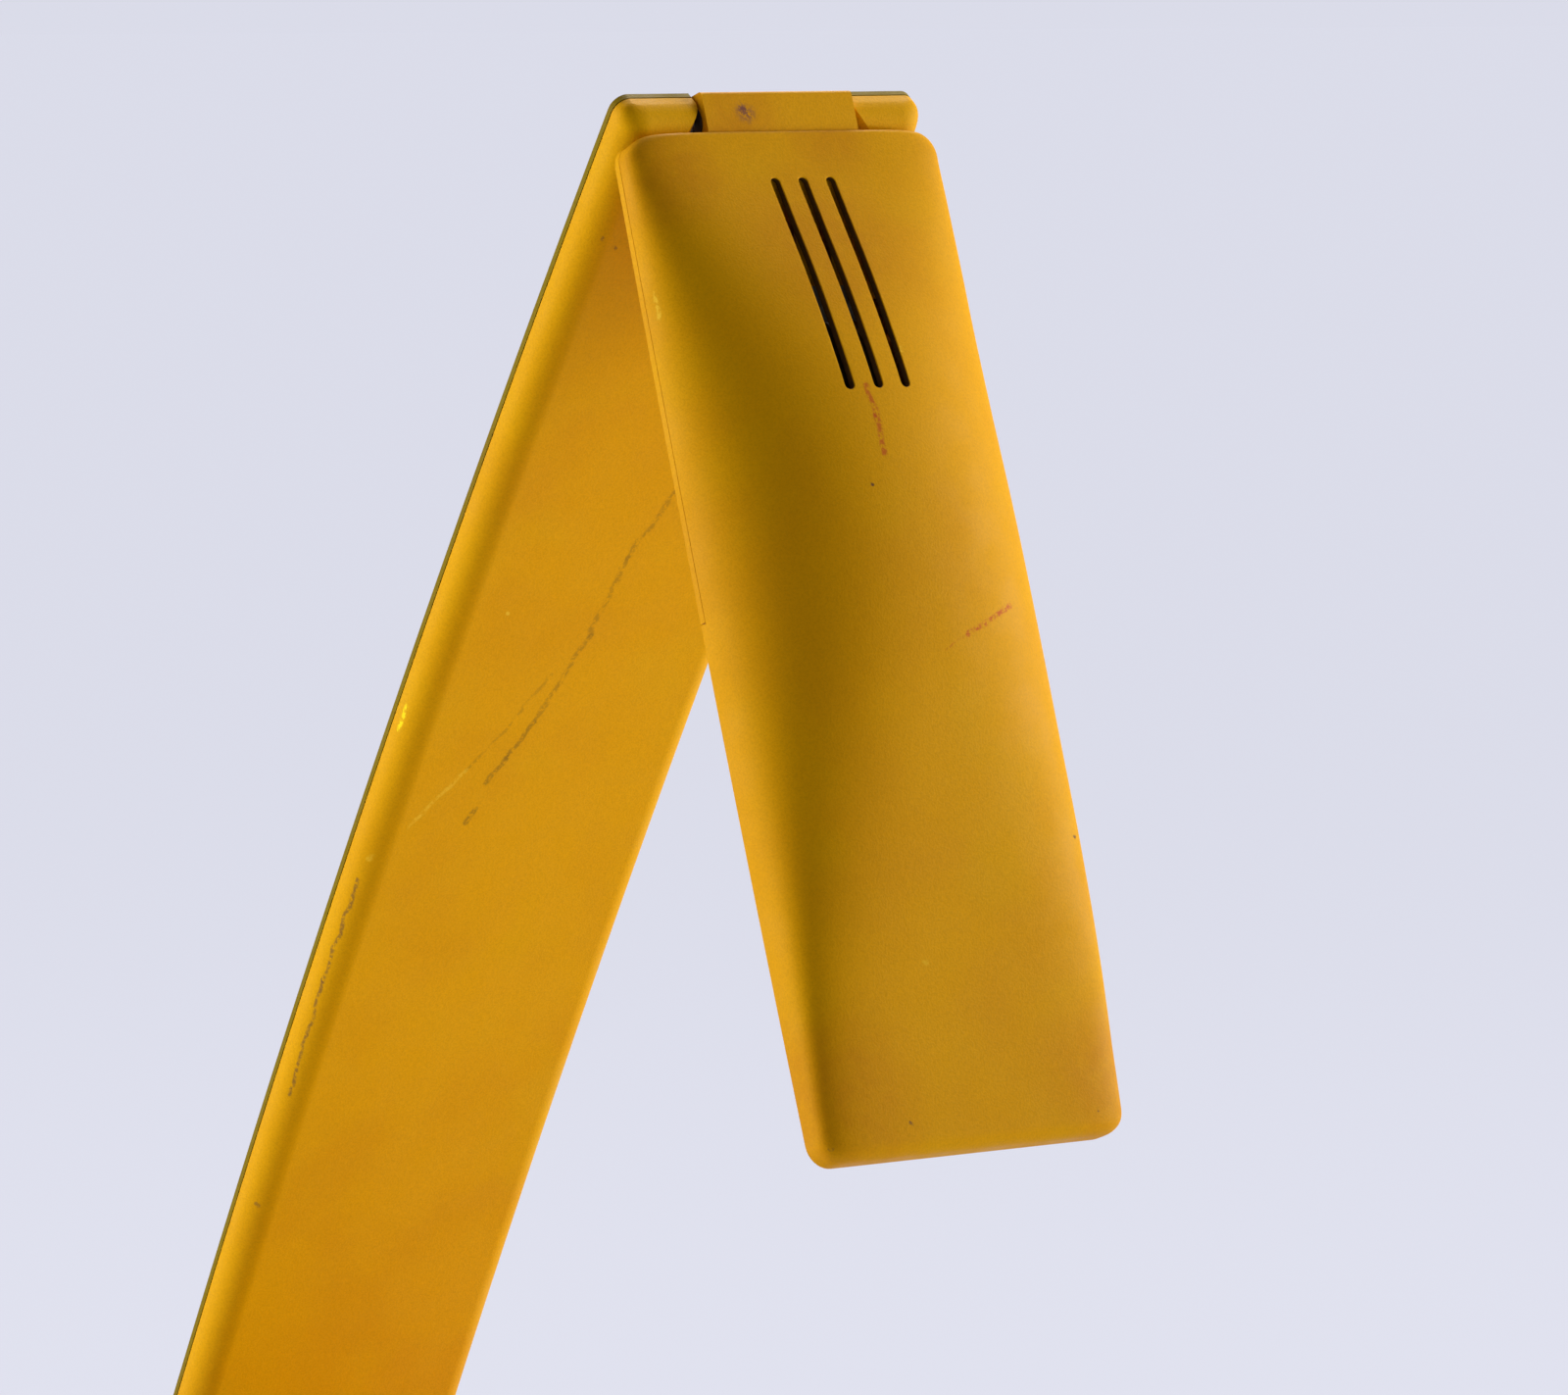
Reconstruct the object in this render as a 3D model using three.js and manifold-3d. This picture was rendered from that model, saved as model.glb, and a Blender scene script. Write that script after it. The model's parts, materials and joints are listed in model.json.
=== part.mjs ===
// Folding desk lamp in yellow ABS: a weighted base, a slim bowed arm and a domed halogen head.
// Units are millimetres, +Z is up, +X runs along the hinge pins and -Y is the front.
// The origin is the centre of the foot pad's underside.
import * as THREE from 'three';
import { mergeVertices } from 'three/addons/utils/BufferGeometryUtils.js';
import Module from 'manifold-3d';

const wasm = await Module();
wasm.setup();

// ---------- driving dimensions ----------

const GAP = 0.3; // air left between neighbouring pieces

// Pose: how far the chord of the arm leans forward, and how far the head's free end swings out.
const ARM_LEAN = 31.6;
const HEAD_TILT = 19.05;

// Base
const BASE_WIDTH = 104;
const BASE_LENGTH = 240;
const BASE_TOP = 31;
const BASE_CORNER = 16;
const BASE_SHOULDER = 7;
const BASE_WALL = 2.5;
const PAD_THICKNESS = 2.2;
const PLATE_BOTTOM = PAD_THICKNESS + GAP;
const PLATE_THICKNESS = 2.5;
const PLATE_TOP = PLATE_BOTTOM + PLATE_THICKNESS;
const HINGE_Y = 92;
const HINGE_HEIGHT = 54;
const BASE_SCREWS = [[-40, -104], [40, -104], [-40, 104], [40, 104]];

// Arm: a slab with a gentle bow; its front is the hollow side of the bow
const ARM_WIDTH = 75;
const ARM_THICKNESS = 9;
const ARM_REACH = 380; // between the two hinge pins, along the bow
const ARM_END = 5; // from a hinge pin to the end of the arm
const ARM_LENGTH = ARM_REACH + 2 * ARM_END;
const ARM_BOW_RADIUS = 3500;
const ARM_ROUND = 6; // shoulder radius, front edges
const ARM_CORNER = 3.5; // corner radius seen from the front
const ARM_WALL = 2;
const BACK_PLATE = 1.3;
const PIN_DEPTH = 4.3; // hinge pins, measured from the arm's back face
const NOTCH_DEPTH = 14;
const ARM_SCREWS = [[-28, 34], [28, 34], [-28, 195], [28, 195], [-28, 356], [28, 356]];

// Hinges: a tongue on the base and on the head sits between the arm's two knuckles
const TONGUE_WIDTH = 37.4;
const TONGUE_ROUND = 5.4;
const NOTCH_WIDTH = TONGUE_WIDTH + 1;
const PIN_LENGTH = 66;
const TOP_PIN_RADIUS = 1.5;
const LOW_PIN_RADIUS = 2.25;
const WASHER_THICKNESS = 0.3;

// Head, measured down from its hinge pin: a dome over a flat rim
const HEAD_START = 3.4;
const HEAD_END = 217.7;
const HEAD_RIM = -0.8; // height of the rim above the pin, along the dome's outward direction
const HEAD_HALF_START = 38.9;
const HEAD_HALF_END = 37.5;
const HEAD_BULGE = 0.8; // extra half-width at mid length
const HEAD_CORNER_START = 5.6;
const HEAD_CORNER_END = 5;
const HEAD_SIDE_WALL = 1.1;
const DOME_WALL = 1.8;
const HEAD_END_WALL = 2.4;
const DOME_WALL_START = 1.2;
const SEAM_TOP = 0.95; // lower edge of the shell beside the hinge frame
const FRAME_TOP = 0.8;
const FRAME_END = 105;
const TONGUE_FRONT = 5.4;

// Height of the dome above the rim, and squareness of its arch, at distances from the pin
const DOME_HEIGHT = [
  [-20, 7.4], [3, 7.4], [12, 8.7], [24, 12.1], [36, 15.7], [49, 19.1], [62, 21.9], [76, 23.8],
  [90, 24.7], [104, 24.5], [118, 23.3], [132, 21.2], [148, 18.5], [166, 15.5], [186, 12.1],
  [204, 9.4], [230, 7.0],
];
const DOME_SQUARENESS = [
  [-20, 6], [4, 6], [12, 4.6], [24, 3.3], [40, 2.5], [58, 2.15], [80, 2.1], [115, 2.3],
  [140, 2.8], [165, 3.8], [190, 5.2], [230, 6.5],
];

// Cooling slots in the dome
const SLOT_PITCH = 6.9;
const SLOT_WIDTH = 2.2;
const SLOT_START = 14.2;
const SLOT_END = 63;

// Lamp window: the frame's floor rises towards the hinge to clear the folded arm
const RAMP_START = 4;
const RAMP_START_HEIGHT = 5.4;
const RAMP_END = 100;
const RAMP_THICKNESS = 1.6;
const WINDOW_CENTRE = 70;
const WINDOW_WIDTH = 46;
const WINDOW_LENGTH = 54;

// ---------- materials ----------

const material = (color, roughness, metalness = 0, extra = {}) =>
  new THREE.MeshStandardMaterial({ color, roughness, metalness, ...extra });
const YELLOW = material(0xd49a10, 0.55);
const OLIVE = material(0xa88c1e, 0.5);
const STEEL = material(0xb4b6b8, 0.35, 1);
const DARK_STEEL = material(0x4a4c50, 0.5, 1);
const ALUMINIUM = material(0xd8dadc, 0.2, 1);
const COPPER = material(0xa8642c, 0.4, 0.8);
const RUBBER = material(0x1c1c1e, 0.85);
const BLACK = material(0x202022, 0.5);
const CERAMIC = material(0xe8e4d8, 0.6);
const GLASS = material(0xe8f0f2, 0.05, 0, { transparent: true, opacity: 0.4 });

// ---------- solids ----------

// Turns a closed geometry into a manifold solid.
function toSolid(geometry) {
  const bare = geometry.clone();
  bare.deleteAttribute('normal');
  bare.deleteAttribute('uv');
  const merged = mergeVertices(bare, 1e-4);
  return new wasm.Manifold(new wasm.Mesh({
    numProp: 3,
    vertProperties: new Float32Array(merged.attributes.position.array),
    triVerts: new Uint32Array(merged.index.array),
  }));
}

function toGeometry(solid) {
  const mesh = solid.getMesh();
  const geometry = new THREE.BufferGeometry();
  geometry.setAttribute('position', new THREE.BufferAttribute(mesh.vertProperties, 3));
  geometry.setIndex(new THREE.BufferAttribute(mesh.triVerts, 1));
  geometry.computeVertexNormals();
  return geometry;
}

function combine(method, first, others) {
  const result = others.reduce((solid, other) => solid[method](toSolid(other)), toSolid(first));
  return toGeometry(result);
}
const join = (first, ...others) => combine('add', first, others);
const cut = (first, ...others) => combine('subtract', first, others);
const common = (first, ...others) => combine('intersect', first, others);

// Box given by its low and high limits on each axis.
function block([x0, x1], [y0, y1], [z0, z1]) {
  const box = new THREE.BoxGeometry(x1 - x0, y1 - y0, z1 - z0);
  return box.translate((x0 + x1) / 2, (y0 + y1) / 2, (z0 + z1) / 2);
}

// Round bar between two values of one axis, at the given values of the other two.
function bar(axis, radius, [from, to], [a, b], sides = 16) {
  const rod = new THREE.CylinderGeometry(radius, radius, to - from, sides);
  const middle = (from + to) / 2;
  if (axis === 'x') return rod.rotateZ(Math.PI / 2).translate(middle, a, b);
  if (axis === 'y') return rod.translate(a, middle, b);
  return rod.rotateX(Math.PI / 2).translate(a, b, middle);
}

function roundedRectangle(width, length, radius) {
  const [x, y] = [width / 2, length / 2];
  const shape = new THREE.Shape();
  shape.moveTo(-x + radius, -y);
  shape.lineTo(x - radius, -y).absarc(x - radius, -y + radius, radius, -Math.PI / 2, 0);
  shape.lineTo(x, y - radius).absarc(x - radius, y - radius, radius, 0, Math.PI / 2);
  shape.lineTo(-x + radius, y).absarc(-x + radius, y - radius, radius, Math.PI / 2, Math.PI);
  shape.lineTo(-x, -y + radius);
  shape.absarc(-x + radius, -y + radius, radius, Math.PI, 1.5 * Math.PI);
  return shape;
}

// Flat plate with rounded corners, lying between two heights.
function plate(width, length, radius, [low, high], segments = 4) {
  const options = { depth: high - low, bevelEnabled: false, curveSegments: segments };
  const shape = roundedRectangle(width, length, radius);
  return new THREE.ExtrudeGeometry(shape, options).translate(0, 0, low);
}

// Plate whose upper edge is rounded over.
function pillow(width, length, radius, shoulder, [low, high]) {
  const options = {
    depth: high - low, bevelThickness: shoulder, bevelSize: shoulder, bevelOffset: -shoulder,
    bevelSegments: 4, curveSegments: 4,
  };
  const shape = roundedRectangle(width, length, radius);
  const rounded = new THREE.ExtrudeGeometry(shape, options).translate(0, 0, low - shoulder);
  return cut(rounded, block([-width, width], [-length, length], [low - 3 * shoulder, low]));
}

// Profile drawn in the Y-Z plane and carried along X, centred.
function acrossProfile(points, width) {
  const shape = new THREE.Shape(points.map(([y, z]) => new THREE.Vector2(y, z)));
  const solid = new THREE.ExtrudeGeometry(shape, { depth: width, bevelEnabled: false });
  solid.applyMatrix4(new THREE.Matrix4().makeBasis(
    new THREE.Vector3(0, 1, 0), new THREE.Vector3(0, 0, 1), new THREE.Vector3(1, 0, 0)));
  return solid.translate(-width / 2, 0, 0);
}

// Points on an arc, angles in degrees.
function arc([cy, cz], radius, from, to, steps) {
  return Array.from({ length: steps + 1 }, (_, i) => {
    const angle = THREE.MathUtils.degToRad(from + (to - from) * i / steps);
    return [cy + radius * Math.cos(angle), cz + radius * Math.sin(angle)];
  });
}

// Closed body through rings of equal point count, capped at both ends.
function loft(rings) {
  const count = rings[0].length;
  const points = rings.flat();
  const index = [];
  for (let ring = 0; ring < rings.length - 1; ring++) {
    for (let i = 0; i < count; i++) {
      const a = ring * count + i;
      const b = ring * count + (i + 1) % count;
      index.push(a, b, b + count, a, b + count, a + count);
    }
  }
  const last = points.length - count;
  for (let i = 1; i < count - 1; i++) {
    index.push(0, i + 1, i, last, last + i, last + i + 1);
  }
  const geometry = new THREE.BufferGeometry();
  geometry.setAttribute('position', new THREE.Float32BufferAttribute(points.flat(), 3));
  geometry.setIndex(index);
  return geometry;
}

// Smooth value at x through a table of [x, value] rows.
function smooth(table, x) {
  const last = table.length - 2;
  const i = Math.min(last, Math.max(0, table.findIndex(([position]) => position > x) - 1));
  const [[x0, y0], [x1, y1]] = [table[i], table[i + 1]];
  const slope = (a, b) => (table[b][1] - table[a][1]) / (table[b][0] - table[a][0]);
  const s0 = slope(Math.max(i - 1, 0), i + 1) * (x1 - x0);
  const s1 = slope(i, Math.min(i + 2, last + 1)) * (x1 - x0);
  const t = (x - x0) / (x1 - x0);
  const [t2, t3] = [t * t, t * t * t];
  return (2 * t3 - 3 * t2 + 1) * y0 + (t3 - 2 * t2 + t) * s0
    + (3 * t2 - 2 * t3) * y1 + (t3 - t2) * s1;
}

// How far a quarter-round of the given radius has fallen at a distance from its end.
function roundOff(distance, radius) {
  if (distance >= radius) return 0;
  return radius - Math.sqrt(radius * radius - (radius - distance) ** 2);
}

// ---------- scene helpers ----------

function addPart(group, name, geometry, look) {
  const mesh = new THREE.Mesh(geometry, look);
  mesh.name = name;
  group.add(mesh);
}

function frameGroup(parent, [x, y, z], tiltDegrees) {
  const group = new THREE.Group();
  group.position.set(x, y, z);
  group.rotation.x = THREE.MathUtils.degToRad(tiltDegrees);
  parent.add(group);
  return group;
}

// Slotted screw along Z: head below, shank upwards.
function screw(headRadius, headHeight, shankRadius, length) {
  const profile = [
    [0, 0], [headRadius * 0.6, 0], [headRadius, headHeight * 0.5], [headRadius, headHeight],
    [shankRadius, headHeight], [shankRadius, headHeight + length], [0, headHeight + length],
  ].map(([r, z]) => new THREE.Vector2(r, z));
  const body = new THREE.LatheGeometry(profile, 10).rotateX(Math.PI / 2);
  return cut(body, block([-headRadius, headRadius], [-0.35, 0.35], [-1, headHeight * 0.5]));
}

// Friction washer with its axis along X.
function washer(x, bore, outer, [y, z]) {
  const ring = bar('x', outer, [x - WASHER_THICKNESS / 2, x + WASHER_THICKNESS / 2], [y, z], 24);
  return cut(ring, bar('x', bore, [x - 2, x + 2], [y, z], 24));
}

const lamp = new THREE.Group();

// ---------- base ----------

function baseTower() {
  const foot = BASE_TOP - HINGE_HEIGHT - BASE_SHOULDER;
  const side = TONGUE_ROUND;
  const profile = [
    ...arc([0, 0], TONGUE_ROUND, 0, 180, 12),
    [-side, -6], [-15, foot], [15, foot], [side, -6],
  ];
  return acrossProfile(profile, TONGUE_WIDTH).translate(0, HINGE_Y, HINGE_HEIGHT);
}

function towerHollow() {
  const profile = [[-3, -9], [-11.5, -22], [-11.5, -30], [11.5, -30], [11.5, -22], [3, -9]];
  const hollow = acrossProfile(profile, TONGUE_WIDTH - 5);
  return hollow.translate(0, HINGE_Y, HINGE_HEIGHT);
}

const SWITCH_X = 27;
const SWITCH_Y = -42;
const SWITCH_WIDTH = 13;
const SWITCH_LENGTH = 19;
const GLAND_RADIUS = 4.5;
const GLAND_HEIGHT = 15;

function baseCover() {
  const outer = pillow(BASE_WIDTH, BASE_LENGTH, BASE_CORNER, BASE_SHOULDER,
    [PLATE_BOTTOM, BASE_TOP]);
  const inner = pillow(BASE_WIDTH - 2 * BASE_WALL, BASE_LENGTH - 2 * BASE_WALL,
    BASE_CORNER - BASE_WALL, BASE_SHOULDER - 2, [PLATE_BOTTOM - 1, BASE_TOP - BASE_WALL]);
  const posts = BASE_SCREWS.map(([x, y]) =>
    bar('z', 4.5, [PLATE_TOP + GAP, BASE_TOP - 1], [x, y]));
  const pilots = BASE_SCREWS.map(([x, y]) => bar('z', 1.9, [0, 20], [x, y], 12));
  const shell = cut(join(outer, baseTower()), inner, towerHollow());
  const switchHole = block(
    [SWITCH_X - SWITCH_WIDTH / 2 - GAP, SWITCH_X + SWITCH_WIDTH / 2 + GAP],
    [SWITCH_Y - SWITCH_LENGTH / 2 - GAP, SWITCH_Y + SWITCH_LENGTH / 2 + GAP], [20, 40]);
  const rear = BASE_LENGTH / 2;
  return cut(join(shell, ...posts), ...pilots, switchHole,
    bar('y', GLAND_RADIUS + GAP, [rear - 10, rear + 5], [0, GLAND_HEIGHT]),
    bar('x', LOW_PIN_RADIUS + 0.1, [-30, 30], [HINGE_Y, HINGE_HEIGHT], 24));
}

function footPad() {
  const pad = plate(BASE_WIDTH - 4, BASE_LENGTH - 4, BASE_CORNER - 2, [0, PAD_THICKNESS]);
  return cut(pad, ...BASE_SCREWS.map(([x, y]) => bar('z', 4.4, [-1, 4], [x, y])));
}

function basePlate() {
  const steel = plate(BASE_WIDTH - 2 * BASE_WALL - 2 * GAP, BASE_LENGTH - 2 * BASE_WALL - 2 * GAP,
    BASE_CORNER - BASE_WALL, [PLATE_BOTTOM, PLATE_TOP]);
  return cut(steel, ...BASE_SCREWS.map(([x, y]) => bar('z', 2.1, [0, 9], [x, y], 12)),
    ...STRAP_SCREW_Y.map((y) => bar('z', 1.8, [0, 9], [0, y], 12)));
}

// The transformer lies flat: a windowed iron core, a coil round its middle leg, a steel strap.
const CORE = { y: 40, length: 56, width: 46, low: 9.5, high: 23.5, leg: 14, window: 28 };
const STRAP_SCREW_Y = [-1, 1].map((side) => CORE.y + side * (CORE.length / 2 + GAP + 6.5));
const COIL_LOW = PLATE_TOP + 0.8;
const COIL_HIGH = BASE_TOP - BASE_WALL - 1.2;

function transformerCore() {
  const { y, length, width, low, high, leg, window: opening } = CORE;
  const body = block([-width / 2, width / 2], [y - length / 2, y + length / 2], [low, high]);
  const windowWidth = 9;
  const holes = [-1, 1].map((side) => {
    const [near, far] = [side * leg / 2, side * (leg / 2 + windowWidth)];
    return block([Math.min(near, far), Math.max(near, far)],
      [y - opening / 2, y + opening / 2], [low - 1, high + 1]);
  });
  return cut(body, ...holes);
}

function transformerCoil() {
  const { y, low, high, leg, window: opening } = CORE;
  const half = opening / 2 - GAP;
  const outer = leg / 2 + 9 - GAP;
  const body = block([-outer, outer], [y - half, y + half], [COIL_LOW, COIL_HIGH]);
  const inner = leg / 2 + GAP;
  return cut(body, block([-inner, inner], [y - 20, y + 20], [low - GAP, high + GAP]));
}

function transformerStrap() {
  const end = CORE.length / 2 + GAP;
  const top = CORE.high + GAP;
  const foot = PLATE_TOP + GAP;
  const outline = [
    [-end - 11, foot], [-end, foot], [-end, top], [end, top], [end, foot], [end + 11, foot],
    [end + 11, foot + 1.2], [end + 1.2, foot + 1.2], [end + 1.2, top + 1.2],
    [-end - 1.2, top + 1.2], [-end - 1.2, foot + 1.2], [-end - 11, foot + 1.2],
  ];
  const strap = acrossProfile(outline, CORE.width).translate(0, CORE.y, 0);
  const coilGap = block([-17, 17], [CORE.y - 15, CORE.y + 15], [top - 2, top + 4]);
  const holes = STRAP_SCREW_Y.map((y) => bar('z', 1.9, [0, 12], [0, y], 12));
  return cut(strap, coilGap, ...holes);
}

function counterweight() {
  return plate(70, 42, 4, [PLATE_TOP + GAP, 27]).translate(0, -77, 0);
}

function terminalBlock() {
  const body = block([-34, -14], [86, 100], [PLATE_TOP + GAP, 16]);
  const wells = [-30, -24, -18].map((x) => bar('z', 1.7, [11, 20], [x, 93], 12));
  const tunnels = [-30, -24, -18].map((x) => bar('y', 1.4, [80, 110], [x, 9.5], 10));
  return cut(body, ...wells, ...tunnels);
}

// Inlet bush in the rear wall: flange outside, neck through the wall, collar inside.
function cordGland() {
  const wall = BASE_LENGTH / 2;
  const profile = [
    [3, -7], [5.8, -7], [5.8, -BASE_WALL - GAP], [GLAND_RADIUS, -BASE_WALL - GAP],
    [GLAND_RADIUS, GAP], [6.5, GAP], [6.5, 1.8], [5, 3], [3, 3], [3, -7],
  ].map(([r, y]) => new THREE.Vector2(r, y));
  return new THREE.LatheGeometry(profile, 24).translate(0, wall, GLAND_HEIGHT);
}

function switchHousing() {
  const [w, l] = [SWITCH_WIDTH / 2, SWITCH_LENGTH / 2];
  const body = block([-w, w], [-l, l], [13, BASE_TOP]);
  const bezel = plate(SWITCH_WIDTH + 4, SWITCH_LENGTH + 4, 2, [BASE_TOP + GAP, BASE_TOP + 1.7], 4);
  const neck = block([-w, w], [-l, l], [BASE_TOP - 1, BASE_TOP + 1]);
  const well = block([-w + 1.6, w - 1.6], [-l + 1.6, l - 1.6], [BASE_TOP - 9, BASE_TOP + 4]);
  const pivots = bar('x', 0.9, [-w + 0.7, w - 0.7], [0, ROCKER_PIVOT], 12);
  return cut(join(body, neck, bezel), well, pivots).translate(SWITCH_X, SWITCH_Y, 0);
}

const ROCKER_PIVOT = BASE_TOP - 1.5;
const ROCKER_REST = -8; // degrees; at rest the rear end is pressed in

// The rocker's face is a shallow vee; short trunnions at its sides sit in the housing.
function switchRocker() {
  const half = SWITCH_WIDTH / 2 - 1.9;
  const profile = [
    [-7, 1.6], [-7, 4.9], [0, 3.4], [7, 4.9], [7, 1.6], [2, -3.4], [-2, -3.4],
  ];
  const key = acrossProfile(profile, 2 * half);
  const pin = bar('x', 0.65, [-half - 0.9, half + 0.9], [0, 0], 12);
  const rocker = join(key, pin).rotateX(THREE.MathUtils.degToRad(ROCKER_REST));
  return rocker.translate(SWITCH_X, SWITCH_Y, ROCKER_PIVOT);
}

addPart(lamp, 'foot_pad', footPad(), RUBBER);
addPart(lamp, 'base_plate', basePlate(), DARK_STEEL);
addPart(lamp, 'base_cover', baseCover(), YELLOW);
addPart(lamp, 'transformer_core', transformerCore(), DARK_STEEL);
addPart(lamp, 'transformer_coil', transformerCoil(), COPPER);
addPart(lamp, 'transformer_strap', transformerStrap(), STEEL);
addPart(lamp, 'counterweight', counterweight(), DARK_STEEL);
addPart(lamp, 'terminal_block', terminalBlock(), CERAMIC);
addPart(lamp, 'cord_gland', cordGland(), BLACK);
addPart(lamp, 'switch_housing', switchHousing(), BLACK);
addPart(lamp, 'switch_rocker', switchRocker(), BLACK);
BASE_SCREWS.forEach(([x, y], i) => {
  const body = screw(3.4, 1.6, 1.6, 12).translate(x, y, PLATE_BOTTOM - GAP - 1.6);
  addPart(lamp, `base_screw_${i + 1}`, body, STEEL);
});
STRAP_SCREW_Y.forEach((y, i) => {
  const body = screw(3.2, 1.6, 1.5, 2.4).rotateX(Math.PI);
  const seat = PLATE_TOP + 2 * GAP + 1.2;
  addPart(lamp, `strap_screw_${i + 1}`, body.translate(0, y, seat + 1.6), STEEL);
});

// ---------- arm ----------

const armGroup = frameGroup(lamp, [0, HINGE_Y, HINGE_HEIGHT], ARM_LEAN);
const ARM_MIDDLE = ARM_LENGTH / 2;

// Local place of a point: x across, s from the arm's top end, m forward of its back face.
// The chord between the two pins runs up the group's Z axis from its origin.
function armPoint(x, s, m) {
  const angle = (ARM_MIDDLE - s) / ARM_BOW_RADIUS;
  const radius = ARM_BOW_RADIUS - m;
  const pinAngle = ARM_REACH / 2 / ARM_BOW_RADIUS;
  const pinRadius = ARM_BOW_RADIUS - PIN_DEPTH;
  const y = radius * Math.cos(angle) - pinRadius * Math.cos(pinAngle);
  const z = radius * Math.sin(angle) + pinRadius * Math.sin(pinAngle);
  return [x, y, z];
}

// Lays a small body built flat (X across, Y backward, Z up the arm) at a place on the bow.
function onArm(geometry, s) {
  const [, y, z] = armPoint(0, s, 0);
  return geometry.rotateX((ARM_MIDDLE - s) / ARM_BOW_RADIUS).translate(0, y, z);
}

const ARM_STATIONS = [
  0.04, 0.6, 1.7, 3.4, 6, 14, 45, 95, 145, 195, 245, 295, 345, 376, 384, 386.6, 388.3, 389.4,
  389.96,
];

// Slab with rounded corners and, above the side height, rounded shoulders.
function armSlab(inset, [low, high], round, stations) {
  const half = ARM_WIDTH / 2 - inset;
  const side = high - round;
  const rings = stations.map((s) => {
    const fromEnd = Math.min(s, ARM_LENGTH - s) - inset;
    const wide = round - roundOff(fromEnd, ARM_CORNER);
    const tall = round - roundOff(fromEnd, round);
    const shoulder = arc([0, 0], 1, 0, 90, 4)
      .map(([x, m]) => [half - round + wide * x, side + tall * m]);
    const mirrored = shoulder.map(([x, m]) => [-x, m]).reverse();
    const edge = half - round + wide;
    const outline = [[edge, low], ...shoulder, ...mirrored, [-edge, low]];
    return outline.map(([x, m]) => armPoint(x, s, m));
  });
  return loft(rings);
}

// Notch for a hinge tongue, its front edges rounded over like the arm's shoulders.
function armNotch(s) {
  const half = NOTCH_WIDTH / 2;
  const side = ARM_THICKNESS - ARM_ROUND;
  const curve = arc([half + ARM_ROUND, side], ARM_ROUND, 180, 90, 6);
  const right = [[half, -4], ...curve, [half + ARM_ROUND, ARM_THICKNESS + 4]];
  const left = right.map(([x, m]) => [-x, m]).reverse();
  const shape = new THREE.Shape([...right, ...left].map(([x, m]) => new THREE.Vector2(x, -m)));
  const length = NOTCH_DEPTH + 6;
  const notch = new THREE.ExtrudeGeometry(shape, { depth: length, bevelEnabled: false });
  const start = s < ARM_MIDDLE ? -NOTCH_DEPTH : -6;
  return onArm(notch.translate(0, 0, start), s);
}

const ARM_ENDS = [0, ARM_LENGTH];
const PIN_PLACES = [
  { s: ARM_END, radius: TOP_PIN_RADIUS, name: 'upper' },
  { s: ARM_LENGTH - ARM_END, radius: LOW_PIN_RADIUS, name: 'lower' },
];

// Each pin drops into its knuckles from behind, through a slot that the back plate closes.
function pinSeat({ s, radius }) {
  const bore = bar('x', radius + 0.1, [-PIN_LENGTH / 2 - GAP, PIN_LENGTH / 2 + GAP], [0, 0], 24);
  const slot = block([-PIN_LENGTH / 2 - GAP, PIN_LENGTH / 2 + GAP],
    [0, PIN_DEPTH], [-radius - 0.1, radius + 0.1]);
  return onArm(join(bore, slot).translate(0, -PIN_DEPTH, 0), s);
}

function armFrontCover() {
  const low = BACK_PLATE + GAP;
  const outer = armSlab(0, [low, ARM_THICKNESS], ARM_ROUND, ARM_STATIONS);
  const inside = [18, ...ARM_STATIONS.filter((s) => s > 20 && s < 370), 372];
  const half = ARM_WIDTH / 2 - ARM_WALL - 1;
  const hollow = loft(inside.map((s) => [
    [half, 0], [half, 4.5], [half - 3, ARM_THICKNESS - ARM_WALL],
    [-half + 3, ARM_THICKNESS - ARM_WALL], [-half, 4.5], [-half, 0],
  ].map(([x, m]) => armPoint(x, s, m))));
  const posts = ARM_SCREWS.map(([x, s]) =>
    onArm(bar('y', 3.4, [-ARM_THICKNESS + 1, -low], [x, 0], 16), s));
  const pilots = ARM_SCREWS.map(([x, s]) => onArm(bar('y', 1.3, [-7, 2], [x, 0], 10), s));
  const body = join(cut(outer, hollow), ...posts);
  return cut(body, ...pilots, ...ARM_ENDS.map(armNotch), ...PIN_PLACES.map(pinSeat));
}

function armBackPlate() {
  const half = ARM_WIDTH / 2;
  const rings = ARM_STATIONS.map((s) => {
    const fromEnd = Math.min(s, ARM_LENGTH - s);
    const x = half - roundOff(fromEnd, ARM_CORNER);
    return [[x, 0], [x, BACK_PLATE], [-x, BACK_PLATE], [-x, 0]]
      .map(([across, m]) => armPoint(across, s, m));
  });
  const holes = ARM_SCREWS.map(([x, s]) => onArm(bar('y', 1.9, [-4, 2], [x, 0], 12), s));
  return cut(loft(rings), ...holes, ...ARM_ENDS.map(armNotch));
}

// Bar of rectangular section following the bow.
function armStrip([x0, x1], [m0, m1], [from, to]) {
  const steps = 12;
  const rings = Array.from({ length: steps + 1 }, (_, i) => {
    const s = from + (to - from) * i / steps;
    return [[x0, m0], [x1, m0], [x1, m1], [x0, m1]].map(([x, m]) => armPoint(x, s, m));
  });
  return loft(rings);
}

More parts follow.
